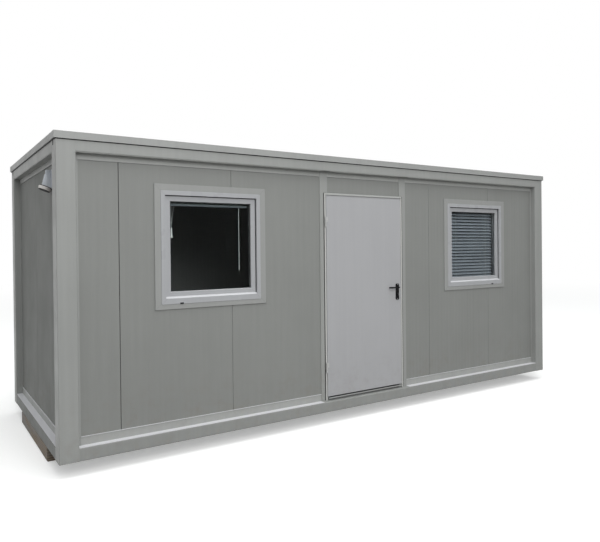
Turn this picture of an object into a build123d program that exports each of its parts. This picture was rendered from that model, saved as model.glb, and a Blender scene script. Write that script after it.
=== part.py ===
from build123d import *
from math import cos, pi, sin
import os

# Shipping container cabin: a folded steel frame on two timber bearers, sandwich panel walls,
# two windows with blinds and one steel door that opens outwards.
# Millimetres. +X runs to the right along the front, +Y goes into the cabin, +Z is up.
# The origin is on the ground under the middle of the frame.

# Frame and bearers
frame_length = 6058.0
frame_width = 2438.0
frame_height = 2591.0
bearer_height = 120.0
bearer_width = 200.0
bearer_length = 1400.0
bearer_edge = 8.0
frame_sheet = 3.0
frame_bend = 6.0
post_face = 150.0
post_flange = 25.0
post_plate = 8.0
post_foot_hole = (80.0, 50.0)
post_slot_width = 6.0
post_slot_height = 45.0
post_slot_inset = 98.0
wall_recess = 60.0
bottom_rail_height = 104.0
bottom_rail_flange = 130.0
bottom_rail_lip = 25.0
top_rail_underside = 2440.0
top_rail_flange = 130.0
top_rail_cap = 45.0

# Roof edge and roof
flashing_height = 57.0
flashing_proud = 12.0
flashing_top = 78.0
flashing_hem = 9.0
flashing_sheet = 2.0
corner_cap_leg = 60.0
corner_cap_sheet = 1.0
roof_cassette_thickness = 80.0
roof_sheet_margin = 60.0
roof_sheet_thickness = 2.0
roof_rib_pitch = 250.0
roof_rib_height = 30.0
roof_rib_top = 60.0
roof_rib_base = 100.0

# Wall tracks, panels and floor
track_sheet = 3.0
track_edge = 3.0
sill_leg = 74.0
head_leg = 54.0
track_lip = 4.0
fit = 0.3
overlap = 1.0
panel_module = 1021.0
panel_thickness = 59.4
panel_joint = 1.5
panel_bevel = 3.0
panel_post_lap = 5.0
tongue_length = 12.0
tongue_base = 20.0
tongue_taper = 2.0
groove_depth = 14.0
groove_play = 1.0
back_joint = 510.5
right_joint = 993.0
left_joint = -1515.0
end_joint = 88.0
corner_trim_leg = 76.0
corner_trim_sheet = 2.0
corner_trim_gap = 4.0
floor_board_thickness = 26.0

# Door unit
door_centre = 45.0
leaf_width = 1004.0
leaf_top = 2200.0
leaf_bottom = 143.0
leaf_skin = 14.0
leaf_core = 40.0
leaf_lap = 18.0
leaf_edge = 2.5
leaf_proud = 2.0
door_gap = 5.0
stop_width = 8.0
door_frame_border = 24.0
door_frame_face = 52.0
door_frame_sheet = 3.0
door_frame_joint = 3.0
door_frame_edge = 1.5
door_post_width = 52.0
door_post_strip = 93.0
door_post_web = 35.0
door_strip_thickness = 6.0
threshold_front = 38.0
threshold_gap = 9.0
threshold_nose = 9.0
threshold_setback = 75.0

# Door hinges
hinge_upper = 1929.0
hinge_lower = 442.0
hinge_length = 100.0
knuckle_radius = 8.5
pin_radius = 5.0
pin_play = 0.3
pin_top_gap = 2.0
knuckle_cap = 2.0
knuckle_offset = 15.0
knuckle_depth = 39.0
hinge_flag = 8.0
hinge_grip = 10.0

# Door handle and lock
handle_inset = 56.0
handle_height = 1220.0
cylinder_drop = 70.0
handle_plate_length = 178.0
handle_plate_width = 46.0
handle_plate_thickness = 8.0
handle_plate_corner = 12.0
handle_plate_centre = 49.0
lever_radius = 9.0
lever_play = 0.3
lever_reach = 48.0
lever_length = 120.0
lever_mitre = 14.0
lever_return_gap = 10.0
spindle_side = 8.0
spindle_hole_radius = 12.0
cylinder_radius = 8.5
cylinder_web = 10.0
cylinder_tail = 33.0
cylinder_proud = 24.0
faceplate_width = 20.0
faceplate_length = 235.0
faceplate_thickness = 3.0

# Windows
window_left_centre = -1702.0
window_right_centre = 1776.0
window_middle = 1686.0
trim_width = 1075.0
trim_height = 1085.0
trim_face = 56.0
trim_foot = 44.0
trim_thickness = 10.0
trim_edge = 3.0
window_frame_face = 38.0
window_frame_foot = 50.0
window_frame_proud = 3.0
window_frame_lip = 22.0
window_frame_depth = 70.0
window_play = 0.5
sash_lap = 8.0
sash_gap = 4.0
sash_face = 51.0
sash_depth = 58.0
glass_setback = 22.0
pane_thickness = 4.0
pane_gap = 16.0
pane_edge = 11.0
pane_play = 1.0

# Blinds
blind_head_height = 40.0
blind_head_depth = 28.0
blind_head_rise = 70.0
blind_side_gap = 7.0
blind_foot_height = 14.0
slat_width = 50.0
slat_crown = 18.0
slat_pitch = 44.0
slat_tilt = 64.0
slat_bow = 4.0
slat_thickness = 1.2
slat_stack_pitch = 2.0
ladder_side = 2.0
ladder_inset = 120.0
stack_setback = 3.0
wand_radius = 4.5
wand_length = 675.0
wand_inset = 75.0
wand_lap = 20.0
wand_sink = 2.0

# Pull cords of the raised blind
cord_radius = 1.1
cord_inset = 33.0
cord_lap = 10.0
cord_spread = 38.0
cord_run = 268.0
cord_grip = 40.0
joiner_drop = 226.0
joiner_radius = 4.0
joiner_length = 12.0
fitting_sides = 8
bell_length = 90.0
bell_neck = 6.0
bell_waist = 10.0
bell_rim = 15.0
bell_rim_height = 12.0

# Power inlet on the left end
inlet_run = 697.0
inlet_mouth = 2198.0
inlet_tilt = 22.0
inlet_plate_width = 104.0
inlet_plate_height = 160.0
inlet_plate_drop = 12.0
inlet_plate_thickness = 6.0
inlet_plate_edge = 10.0
hood_offset = 47.0
hood_radius = 41.0
hood_height = 112.0
hood_top_offset = 34.0
hood_top_radius = 20.0
hood_rim_gap = 7.0
hood_flats = 8
neck_radius = 13.0
neck_height = 34.0
sleeve_radius = 31.0
lid_radius = 49.0
lid_thickness = 28.0

# Levels and faces that follow from the sizes above. Heights are measured from the ground,
# depths from the outer face of the frame on each side.
frame_base = bearer_height
frame_top = frame_base + frame_height
rail_top = frame_base + bottom_rail_height
wall_top = frame_base + top_rail_underside
steel_top = frame_top - flashing_sheet
track_inside = wall_recess + track_sheet + panel_thickness + 2 * fit
panel_face = wall_recess + track_sheet + fit
panel_back = panel_face + panel_thickness
wall_back = track_inside + track_sheet
floor_top = rail_top + floor_board_thickness
half_unit = leaf_width / 2 + door_frame_border + door_post_width
half_frame = leaf_width / 2 + door_frame_border
half_reveal = leaf_width / 2 - leaf_lap
half_core = half_reveal - door_gap
leaf_face = door_frame_face - leaf_proud
leaf_back = leaf_face + leaf_skin + leaf_core
door_head = frame_base + leaf_top + door_frame_border
handle_x = door_centre + leaf_width / 2 - handle_inset
handle_z = frame_base + handle_height
hinge_x = door_centre - leaf_width / 2 - knuckle_offset


def half_of(side):
    """Half the length of the frame along a side."""
    return (frame_length if side in ("front", "back") else frame_width) / 2


def run_direction(side):
    return {"front": (1, 0, 0), "back": (-1, 0, 0), "left": (0, -1, 0), "right": (0, 1, 0)}[side]


def face_origin(side, run):
    """The point on a side's outer face at a distance along its run from the middle."""
    x, y, _ = run_direction(side)
    half_depth = (frame_width if side in ("front", "back") else frame_length) / 2
    return (x * run + y * half_depth, y * run - x * half_depth, 0)


def bar(side, section, start, end):
    """Carry a section drawn as (depth, height) along a side."""
    x, y, _ = run_direction(side)
    plane = Plane(origin=face_origin(side, start), x_dir=(-y, x, 0), z_dir=(x, y, 0))
    return extrude(plane * section, amount=end - start)


def upright(side, outline, low, high):
    """Raise an outline drawn as (run, depth) from one height to another."""
    x, y, z = face_origin(side, 0)
    plane = Plane(origin=(x, y, low), x_dir=run_direction(side), z_dir=(0, 0, 1))
    return extrude(plane * outline, amount=high - low)


def through(side, elevation, near, far):
    """Push an elevation drawn as (run, height) inwards from one depth to another."""
    x, y, _ = run_direction(side)
    ox, oy, _ = face_origin(side, 0)
    plane = Plane(origin=(ox - y * near, oy + x * near, 0), x_dir=(x, y, 0), z_dir=(y, -x, 0))
    return extrude(plane * elevation, amount=near - far)


def area(left, right, low, high):
    """A rectangle between two abscissas and two ordinates."""
    return Pos((left + right) / 2, (low + high) / 2) * Rectangle(right - left, high - low)


def fold(points, sheet, bend):
    """The section of a folded sheet whose middle line runs through the points."""
    return trace(FilletPolyline(*points, radius=bend), line_width=sheet)


def prismatoid(lower, upper):
    """A solid with flat sides between two level outlines that have the same number of corners."""
    sides = [Face(Wire.make_polygon([lower[i - 1], lower[i], upper[i], upper[i - 1]]))
             for i in range(len(lower))]
    return Solid(Shell(sides + [Face(Wire.make_polygon(outline)) for outline in (lower, upper)]))


def four_corners(shape):
    """Copies of a front left corner piece at all four corners."""
    front = [shape, mirror(shape, about=Plane.YZ)]
    return front + [mirror(s, about=Plane.XZ) for s in front]


def bearers():
    centre = (frame_length - bearer_width) / 2
    size = (bearer_width, bearer_length, bearer_height)
    block = Pos(0, 0, bearer_height / 2) * Box(*size)
    block = chamfer(block.edges().filter_by(Axis.Y), bearer_edge)
    return [Pos(-centre, 0, 0) * block, Pos(centre, 0, 0) * block]


def corner_post():
    """Folded post: two faces, two returns, and flanges that hold the panels between the rails."""
    mid = frame_sheet / 2
    near = post_face - mid
    tip = wall_recess + frame_sheet
    faces = [(near, tip), (near, mid), (mid, mid), (mid, near), (tip, near)]
    corner = Pos(-frame_length / 2, -frame_width / 2)
    shaft = extrude(Pos(0, 0, frame_base) * corner * fold(faces, frame_sheet, frame_bend),
                    amount=steel_top - frame_base)
    root = post_face - frame_sheet
    tips = area(root, post_face + post_flange, wall_recess, tip)
    tips += area(wall_recess, tip, root, post_face + post_flange)
    flange_low = rail_top + track_sheet
    flanges = extrude(Pos(0, 0, flange_low) * corner * tips, amount=wall_top - track_sheet - flange_low)
    plate = area(frame_sheet, root, frame_sheet, root)
    head = extrude(Pos(0, 0, steel_top - post_plate) * corner * plate, amount=post_plate)
    plate -= Pos(post_face / 2, post_face / 2) * Rectangle(*post_foot_hole)
    foot = extrude(Pos(0, 0, frame_base) * corner * plate, amount=post_plate)
    slot_top = frame_top - flashing_height
    slot = Pos(-frame_length / 2, post_slot_inset - frame_width / 2, slot_top - post_slot_height / 2)
    slot *= Box(3 * frame_sheet, post_slot_width, post_slot_height)
    return (shaft + flanges + foot + head) - slot


def rail(side, bottom):
    """Folded channel between two posts, open towards the inside, welded flush to them."""
    mid = frame_sheet / 2
    if bottom:
        low, high = frame_base, rail_top
        back = bottom_rail_flange
        points = [(back, low + mid), (mid, low + mid), (mid, high - mid), (back, high - mid)]
    else:
        low, high = wall_top, steel_top
        points = [(top_rail_flange, low + mid), (mid, low + mid), (mid, high - mid),
                  (top_rail_cap, high - mid)]
    section = fold(points, frame_sheet, frame_bend)
    if bottom:
        section += area(back - frame_sheet, back, low, low + bottom_rail_lip)
        section += area(back - frame_sheet, back, high - bottom_rail_lip, high)
    reach = half_of(side) - post_face
    welds = [upright(side, outline, low + frame_bend / 2, high - frame_bend / 2)
             for outline in weld_outlines(reach)]
    return bar(side, section, -reach, reach) + welds


def weld_outlines(reach):
    """Plan of the weld that fills the groove between each end of a rail and its post's bend."""
    bend = frame_bend + frame_sheet / 2
    clear = bend + fit
    far = bend - (clear ** 2 - bend ** 2) ** 0.5
    near = bend - clear / 2 ** 0.5
    shape = [(0, 0), (far, 0), (near, near), (0, far)]
    ends = [[(hand * (reach + x), y) for x, y in shape[::hand]] for hand in (1, -1)]
    return [Polygon(*points, align=None) for points in ends]


def roof_flashing(side):
    """Folded edge strip with a drip hem, mitred at both ends."""
    mid = flashing_sheet / 2
    face = mid - flashing_proud
    low, high = frame_top - flashing_height + mid, frame_top - mid
    points = [(face + flashing_hem, low), (face, low), (face, high), (flashing_top, high)]
    half = half_of(side) + flashing_proud
    strip = bar(side, trace(Polyline(*points), line_width=flashing_sheet), -half, half)
    inner = half - flashing_proud - flashing_top
    outer = half - fit
    mitre = Polygon((-outer, -flashing_proud), (outer, -flashing_proud),
                    (inner - fit, flashing_top), (fit - inner, flashing_top), align=None)
    return strip & upright(side, mitre, low - flashing_sheet, frame_top + flashing_sheet)


def roof_corner_cap():
    """Small cover over the flashing joint at a corner."""
    face = -flashing_proud - fit - corner_cap_sheet / 2
    points = [(corner_cap_leg, face), (face, face), (face, corner_cap_leg)]
    section = trace(Polyline(*points), line_width=corner_cap_sheet)
    base = Pos(-frame_length / 2, -frame_width / 2, frame_top - flashing_height)
    return extrude(base * section, amount=flashing_height)


def clear_of_posts(low, high):
    """Blocks that keep a plate out of the four corner posts."""
    side = post_face + fit
    block = Pos((side - frame_length) / 2, (side - frame_width) / 2, (low + high) / 2)
    return four_corners(block * Box(side, side, high - low + 2 * overlap))


def roof_cassette():
    margin = 2 * (frame_sheet + frame_bend)
    low = wall_top + frame_sheet + fit
    slab = Pos(0, 0, low + roof_cassette_thickness / 2)
    slab *= Box(frame_length - margin, frame_width - margin, roof_cassette_thickness)
    return slab - clear_of_posts(low, low + roof_cassette_thickness)


def roof_sheet():
    """Ribbed sheet on the roof cassette, with its ribs across the cabin."""
    base = wall_top + frame_sheet + 2 * fit + roof_cassette_thickness + roof_sheet_thickness / 2
    half = frame_length / 2 - roof_sheet_margin
    ribs = int((2 * half - roof_rib_base) // roof_rib_pitch)
    points = [(-half, 0)]
    for i in range(ribs):
        x = (i - (ribs - 1) / 2) * roof_rib_pitch
        points += [(x - roof_rib_base / 2, 0), (x - roof_rib_top / 2, roof_rib_height),
                   (x + roof_rib_top / 2, roof_rib_height), (x + roof_rib_base / 2, 0)]
    points.append((half, 0))
    depth = frame_width - 2 * roof_sheet_margin
    plane = Plane(origin=(0, depth / 2, base), x_dir=(1, 0, 0), z_dir=(0, -1, 0))
    section = trace(Polyline(*points), line_width=roof_sheet_thickness)
    sheet = extrude(plane * section, amount=depth)
    return sheet - clear_of_posts(base, base + roof_rib_height)


def track(side, top, start, end, at_start, at_end):
    """Channel that holds the panels: a ledge, an outer leg with a lip and an inner leg.

    at_start and at_end say whether the channel ends at a corner post."""
    level = wall_top - track_sheet if top else rail_top
    leg = head_leg if top else sill_leg
    low, high = (wall_top - leg, wall_top) if top else (rail_top, rail_top + leg)
    lip = low if top else high - track_sheet
    web = area(track_edge, wall_back, level, level + track_sheet)
    outer = area(wall_recess, wall_recess + track_sheet, low, high)
    outer += area(wall_recess - track_lip, wall_recess, lip, lip + track_sheet)
    inner = area(track_inside, wall_back, low, high)
    beside_post = post_flange + fit
    corner = track_inside if side in ("front", "back") else wall_back + fit
    overhang = post_face - corner
    pieces = bar(side, web, start + fit, end - fit)
    pieces += bar(side, outer, start + (beside_post if at_start else fit),
                  end - (beside_post if at_end else fit))
    pieces += bar(side, inner, start - (overhang if at_start else -fit),
                  end + (overhang if at_end else -fit))
    return pieces


def wall_tracks(side):
    reach = half_of(side) - post_face
    pieces = []
    if side == "front":
        left_end, right_start = door_centre - half_unit, door_centre + half_unit
        for top in (False, True):
            pieces.append(track(side, top, -reach, left_end, True, False))
            pieces.append(track(side, top, right_start, reach, False, True))
        middle = (door_centre - half_unit + door_post_strip, door_centre + half_unit - door_post_strip)
        pieces.append(track(side, True, *middle, False, False))
    else:
        pieces.append(track(side, False, -reach, reach, True, True))
        pieces.append(track(side, True, -reach, reach, True, True))
    return pieces


def panel_outline(start, end, tongue, groove):
    """Plan of a sandwich panel, with a tongue at its end and a groove at its start."""
    near = start + (panel_joint / 2 if groove else 0)
    far = end - (panel_joint / 2 if tongue else 0)
    middle = (panel_face + panel_back) / 2
    bevel = panel_face + panel_bevel
    points = [(near + panel_bevel, panel_face), (far - panel_bevel, panel_face), (far, bevel)]
    if tongue:
        half = tongue_base / 2
        tip = half - tongue_taper
        points += [(far, middle - half), (far + tongue_length, middle - tip),
                   (far + tongue_length, middle + tip), (far, middle + half)]
    points += [(far, panel_back), (near, panel_back)]
    if groove:
        half = tongue_base / 2 + groove_play
        tip = half - tongue_taper
        points += [(near, middle + half), (near + groove_depth, middle + tip),
                   (near + groove_depth, middle - tip), (near, middle - half)]
    points.append((near, bevel))
    return Polygon(*points, align=None)


def wall(side, edges, cuts=(), low=None, high=None):
    """Panels between the given edges, which interlock, less the window openings."""
    low = rail_top + track_sheet + fit if low is None else low
    high = wall_top - track_sheet - fit if high is None else high
    panels = []
    for i in range(len(edges) - 1):
        tongue, groove = i < len(edges) - 2, i > 0
        panel = upright(side, panel_outline(edges[i], edges[i + 1], tongue, groove), low, high)
        for cut in cuts:
            panel -= cut
        panels.append(panel)
    return panels


def window_opening(centre):
    """The hole that a window's frame needs in the wall."""
    width, low, high = window_hole()
    half = width / 2 + window_play
    elevation = area(centre - half, centre + half, low - window_play, high + window_play)
    return through("front", elevation, 0, 2 * panel_back)


def window_hole():
    """Width, bottom and top of a window's frame."""
    low = frame_base + window_middle - trim_height / 2 + trim_foot
    high = frame_base + window_middle + trim_height / 2 - trim_face
    return trim_width - 2 * trim_face, low, high


def front_walls():
    wall_end = half_of("front") - post_face - panel_post_lap
    at_post = half_unit - door_post_width + door_post_web + fit
    left_edges = [-wall_end, left_joint - panel_module, left_joint, door_centre - at_post]
    right_edges = [door_centre + at_post, right_joint, right_joint + panel_module, wall_end]
    left = wall("front", left_edges, [window_opening(window_left_centre)])
    right = wall("front", right_edges, [window_opening(window_right_centre)])
    over = half_frame - fit
    lintel = wall("front", [door_centre - over, door_centre + over], low=door_head + fit)
    return left, lintel, right


def back_wall():
    wall_end = half_of("back") - post_face - panel_post_lap
    joints = [back_joint + i * panel_module for i in range(-3, 3)]
    return wall("back", [-wall_end] + joints + [wall_end])


def end_wall(side):
    wall_end = half_of(side) - post_face - panel_post_lap
    return wall(side, [-wall_end, end_joint if side == "right" else -end_joint, wall_end])


def corner_trim():
    """Angle strip that closes the inner corner between two walls."""
    mid = corner_trim_sheet / 2
    face = panel_back + mid
    points = [(face + corner_trim_leg, face), (face, face), (face, face + corner_trim_leg)]
    section = trace(Polyline(*points), line_width=corner_trim_sheet)
    low = rail_top + sill_leg + corner_trim_gap
    high = wall_top - head_leg - corner_trim_gap
    return extrude(Pos(-frame_length / 2, -frame_width / 2, low) * section, amount=high - low)


def floor_cassette():
    margin = 2 * (bottom_rail_flange + fit)
    size = (frame_length - margin, frame_width - margin, bottom_rail_height)
    slab = Pos(0, 0, frame_base + bottom_rail_height / 2) * Box(*size)
    return slab - clear_of_posts(frame_base, rail_top)


def floor_board():
    margin = 2 * (wall_back + fit)
    size = (frame_length - margin, frame_width - margin, floor_board_thickness)
    return Pos(0, 0, rail_top + floor_board_thickness / 2) * Box(*size)


def door_post(hand):
    """Post beside the door: a tube with a cover strip in front and one behind."""
    outer = hand * half_unit
    front_strip = wall_recess - track_sheet
    back_strip = panel_back + fit

    def strips(width):
        left, right = sorted((outer, outer - hand * width))
        near = area(left, right, front_strip, front_strip + door_strip_thickness)
        return near + area(left, right, back_strip, wall_back)

    edge = outer - hand * door_post_width
    left, right = sorted((edge, edge + hand * door_post_web))
    tube = area(left, right, front_strip, wall_back)
    tube -= area(left + frame_sheet, right - frame_sheet,
                 front_strip + door_strip_thickness, back_strip)
    low, high = rail_top + fit, wall_top - fit
    post = upright("front", Pos(door_centre, 0) * (tube + strips(door_post_width)), low, high)
    wide = upright("front", Pos(door_centre, 0) * strips(door_post_strip), door_head + fit, high)
    return post + wide


def portal(half_outer, top_outer, half_inner, top_inner, near, far):
    """A frame with two jambs and a head, between two depths."""
    low = rail_top + fit
    elevation = area(-half_outer, half_outer, low, top_outer)
    elevation -= area(-half_inner, half_inner, low - overlap, top_inner)
    return through("front", Pos(door_centre, 0) * elevation, near, far)


def door_frame():
    """Folded steel frame: a border, a rebate for the leaf and a stop, open towards the posts."""
    leaf_high = frame_base + leaf_top
    stop_face = leaf_back + door_gap
    steps = [(leaf_width / 2 + door_gap, leaf_high + door_gap, door_frame_face),
             (half_reveal, leaf_high - leaf_lap, leaf_face + leaf_skin + door_gap),
             (half_reveal - stop_width, leaf_high - leaf_lap - stop_width, stop_face)]
    half_outer = half_frame - fit
    border = (half_frame - door_frame_joint, door_head - door_frame_joint)
    front = portal(*border, steps[0][0], steps[0][1], door_frame_face, steps[1][2])
    face = front.faces().sort_by(Axis.Y)[0]
    steel = chamfer(face.edges().filter_by(lambda e: e.center().Z > rail_top + overlap), door_frame_edge)
    for half, top, near in steps[1:]:
        steel += portal(half_outer, door_head, half, top, near, wall_back)
    sheet = door_frame_sheet
    for half, top, near in steps:
        steel -= portal(half_outer + sheet, door_head + sheet, half + sheet, top + sheet,
                        near + sheet, wall_back - sheet)
    return steel


def threshold():
    """Sill profile under the door: a thin nose that overhangs a set back web."""
    top = frame_base + leaf_bottom - threshold_gap
    web = [(threshold_setback, rail_top), (wall_back, rail_top), (wall_back, floor_top),
           (threshold_setback, top)]
    half = half_reveal - stop_width - fit
    sill = bar("front", Polygon(*web, align=None), door_centre - half, door_centre + half)
    nose_low = top - threshold_nose
    inner = area(door_frame_face - 2 * fit, threshold_setback + overlap, nose_low, top)
    sill += bar("front", inner, door_centre - half, door_centre + half)
    outer = area(threshold_front, door_frame_face - fit, nose_low, top)
    return sill + bar("front", outer, door_centre - leaf_width / 2, door_centre + leaf_width / 2)


def lock_profile(play):
    """Elevation of the key cylinder: a round plug above a narrow tail."""
    plug = Circle(cylinder_radius + play)
    half = cylinder_web / 2 + play
    tail = area(-half, half, -cylinder_tail + cylinder_radius + half, 0)
    tail += Pos(0, -cylinder_tail + cylinder_radius + half) * Circle(half)
    return Pos(handle_x, handle_z - cylinder_drop) * (plug + tail)


def door_leaf():
    """Flat leaf whose skin laps over the frame, with holes for the spindle and the cylinder."""
    low, high = frame_base + leaf_bottom, frame_base + leaf_top
    skin_area = area(door_centre - leaf_width / 2, door_centre + leaf_width / 2, low, high)
    skin = through("front", skin_area, leaf_face, leaf_face + leaf_skin)
    skin = chamfer(skin.faces().sort_by(Axis.Y)[0].edges(), leaf_edge)
    core_top = high - leaf_lap - door_gap
    core_area = area(door_centre - half_core, door_centre + half_core, low, core_top)
    core = through("front", core_area, leaf_face + leaf_skin - overlap, leaf_back)
    spindle = Pos(handle_x, handle_z) * Circle(spindle_hole_radius)
    leaf = skin + core - through("front", spindle + lock_profile(fit), 0, 2 * leaf_back)
    return leaf - faceplate(fit)


def faceplate(play):
    """Lock faceplate, let flush into the edge of the leaf."""
    edge = door_centre + half_core
    middle = (leaf_face + leaf_skin + leaf_back) / 2
    size = (faceplate_thickness + play, faceplate_width + 2 * play, faceplate_length + 2 * play)
    place = Pos(edge - size[0] / 2, middle - frame_width / 2, handle_z - cylinder_drop / 2)
    plate = place * Box(*size)
    return plate if play else fillet(plate.edges().filter_by(Axis.X), faceplate_width / 4)


def key_cylinder():
    return through("front", lock_profile(0), leaf_face - cylinder_proud, leaf_back + cylinder_proud)


def handle_plates():
    """Long plates with cut corners behind the levers, each with a bore and a cylinder hole."""
    outline = Rectangle(handle_plate_width, handle_plate_length)
    outline = chamfer(outline.vertices(), handle_plate_corner)
    outline = Pos(handle_x, handle_z - handle_plate_centre) * outline
    outline -= Pos(handle_x, handle_z) * Circle(lever_radius + lever_play) + lock_profile(fit)
    return [through("front", outline, leaf_face - handle_plate_thickness, leaf_face),
            through("front", outline, leaf_back, leaf_back + handle_plate_thickness)]


def lever(face, outward):
    """A round lever that leaves its plate, runs towards the hinges and turns back to the leaf."""
    y = face - frame_width / 2
    out = y + outward * lever_reach
    tip = handle_x - lever_length
    back = out - outward * lever_mitre
    path = Polyline((handle_x, y, handle_z), (handle_x, back, handle_z),
                    (handle_x - lever_mitre, out, handle_z), (tip + lever_mitre, out, handle_z),
                    (tip, back, handle_z), (tip, y + outward * lever_return_gap, handle_z))
    start = Plane(origin=(handle_x, y, handle_z), z_dir=(0, outward, 0))
    return sweep(start * Circle(lever_radius), path=path, transition=Transition.RIGHT)


def lever_handles():
    """Both levers on one square spindle."""
    length = leaf_back - leaf_face
    middle = (leaf_face + leaf_back) / 2 - frame_width / 2
    spindle = Pos(handle_x, middle, handle_z)
    spindle *= Box(spindle_side, length + 2 * overlap, spindle_side)
    return lever(leaf_face, -1) + spindle + lever(leaf_back, 1)


def hinge_place(height, shift):
    y = knuckle_depth - frame_width / 2
    return Pos(hinge_x, y, frame_base + height + shift)


def hinge_on_frame(height):
    """Lower knuckle with the pin, welded to the face of the frame."""
    half = hinge_length / 2
    knuckle = hinge_place(height, -half / 2) * Cylinder(knuckle_radius, half)
    reach = half - knuckle_cap - pin_top_gap
    pin = hinge_place(height, reach / 2) * Cylinder(pin_radius, reach)
    depth = door_frame_face - knuckle_depth
    flag = hinge_place(height, -half / 2) * Pos(0, depth / 2, 0) * Box(hinge_flag, depth, half)
    return knuckle + pin + flag


def hinge_on_leaf(height):
    """Upper knuckle, closed at its top, on a flag at the edge of the leaf."""
    half = hinge_length / 2
    length = half - fit
    knuckle = hinge_place(height, fit + length / 2) * Cylinder(knuckle_radius, length)
    depth = half - knuckle_cap
    bore = hinge_place(height, depth / 2) * Cylinder(pin_radius + pin_play, depth)
    edge = hinge_x + knuckle_offset
    flag = (knuckle_depth - hinge_flag / 2, knuckle_depth + hinge_flag / 2)
    plan = area(hinge_x, edge + hinge_grip, *flag)
    plan += area(edge + leaf_edge, edge + hinge_grip, knuckle_depth, leaf_face)
    low = frame_base + height + fit
    return knuckle + upright("front", plan, low, low + length) - bore


def ring(width, low, high, border, foot, near, far):
    """A rectangular frame round the origin's vertical axis, between two depths."""
    elevation = area(-width / 2, width / 2, low, high)
    elevation -= area(border - width / 2, width / 2 - border, low + foot, high - border)
    return through("front", elevation, near, far)


def soft_front(shape, radius):
    """Round the outer edges of the foremost face."""
    face = shape.faces().sort_by(Axis.Y)[0]
    return fillet(face.outer_wire().edges(), radius)


def window_pieces():
    """Trim, frame, sash and panes of one window, centred on X."""
    low = frame_base + window_middle - trim_height / 2
    high = frame_base + window_middle + trim_height / 2
    width, frame_low, frame_high = window_hole()
    elevation = area(-trim_width / 2, trim_width / 2, low, high)
    elevation -= area(-width / 2 - fit, width / 2 + fit, frame_low - fit, frame_high + fit)
    trim = soft_front(through("front", elevation, panel_face - trim_thickness, panel_face), trim_edge)

    near = panel_face - trim_thickness - window_frame_proud
    lip_back = near + window_frame_lip
    frame = ring(width, frame_low, frame_high, window_frame_face, window_frame_foot, near, lip_back)
    hidden = sash_lap + sash_gap
    frame += ring(width, frame_low, frame_high, window_frame_face - hidden,
                  window_frame_foot - hidden, lip_back, near + window_frame_depth)
    frame = soft_front(frame, trim_edge)

    sash_width = width - 2 * (window_frame_face - sash_lap)
    sash_low = frame_low + window_frame_foot - sash_lap
    sash_high = frame_high - window_frame_face + sash_lap
    sash_near = lip_back + fit
    border = sash_face + sash_lap
    sash = ring(sash_width, sash_low, sash_high, border, border, sash_near, sash_near + sash_depth)
    half = sash_width / 2 - border
    glass_low, glass_high = sash_low + border, sash_high - border
    reach = pane_edge + pane_play
    groove = area(-half - reach, half + reach, glass_low - reach, glass_high + reach)
    pane = area(-half - pane_edge, half + pane_edge, glass_low - pane_edge, glass_high + pane_edge)
    panes = []
    for depth in (glass_setback, glass_setback + pane_thickness + pane_gap):
        near = sash_near + depth
        far = near + pane_thickness
        sash -= through("front", groove, near - fit, far + fit)
        panes.append(through("front", pane, near, far))
    return trim, frame, sash, panes


def glass_area():
    """Half width, bottom, top and rear depth of a sash's glass opening."""
    width, low, high = window_hole()
    half = width / 2 - window_frame_face - sash_face
    bottom, top = low + window_frame_foot + sash_face, high - window_frame_face - sash_face
    near = panel_face - trim_thickness - window_frame_proud + window_frame_lip + fit
    return half, bottom, top, near + sash_depth


def slat(depth, height, tilt):
    """Section of one slat: three flats that follow its shallow crown, turned about its middle."""
    half, crown = slat_width / 2, slat_crown / 2
    line = Polyline((-half, 0), (-crown, slat_bow), (crown, slat_bow), (half, 0))
    return Pos(depth, height) * Rot(0, 0, tilt) * trace(line, line_width=slat_thickness)


def blind(lowered):
    """Venetian blind: head rail, slats on ladder cords, foot rail and a turning wand."""
    half, low, high, sash_back = glass_area()
    near = sash_back + fit
    far = near + blind_head_depth
    stack_back = far - stack_setback
    middle = (near + far) / 2
    head_low = high + blind_head_rise - blind_head_height
    reach = half - blind_side_gap
    body = bar("front", area(near, far, head_low, head_low + blind_head_height), -reach, reach)
    if lowered:
        count = int((head_low - low + blind_foot_height) // slat_pitch)
        heights = [head_low - (i + 0.5) * slat_pitch for i in range(count)]
        foot = heights[-1] - slat_pitch
        sections = [slat(middle, height, slat_tilt) for height in heights]
    else:
        count = int((high - low) // slat_pitch)
        heights = [head_low - (i + 1) * slat_stack_pitch for i in range(count)]
        foot = heights[-1] - slat_stack_pitch - blind_foot_height / 2
        sections = [area(near, stack_back, height - slat_thickness, height) for height in heights]
    for section in sections:
        body += bar("front", section, -reach, reach)
    foot_area = area(near, stack_back, foot - blind_foot_height / 2, foot + blind_foot_height / 2)
    body += bar("front", foot_area, -reach, reach)
    ladder = area(middle - ladder_side / 2, middle + ladder_side / 2, foot, head_low + overlap)
    for x in (ladder_inset - reach, reach - ladder_inset):
        body += bar("front", ladder, x - ladder_side / 2, x + ladder_side / 2)
    if not lowered:
        depth = far + wand_radius - wand_sink
        height = head_low + wand_lap - wand_length / 2
        place = Pos(reach - wand_inset, depth - frame_width / 2, height)
        body += place * Cylinder(wand_radius, wand_length)
    return body


def cord_start(shift):
    """Where a pull cord leaves the head rail of the raised blind, beside its straight cord."""
    half, _, high, sash_back = glass_area()
    depth = sash_back + fit + blind_head_depth + fit + cord_radius
    return Vector(window_left_centre - half + cord_inset + shift, depth - frame_width / 2,
                  high + blind_head_rise - blind_head_height + cord_lap)


def cord(start, end):
    """A straight round cord between two points."""
    run = end - start
    return extrude(Plane(origin=start, z_dir=run) * Circle(cord_radius), amount=run.length)


def pull_cord():
    """The straight cord, which hangs down into the bell."""
    top = cord_start(0)
    return cord(top, top - Vector(0, 0, cord_run + cord_grip))


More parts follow.
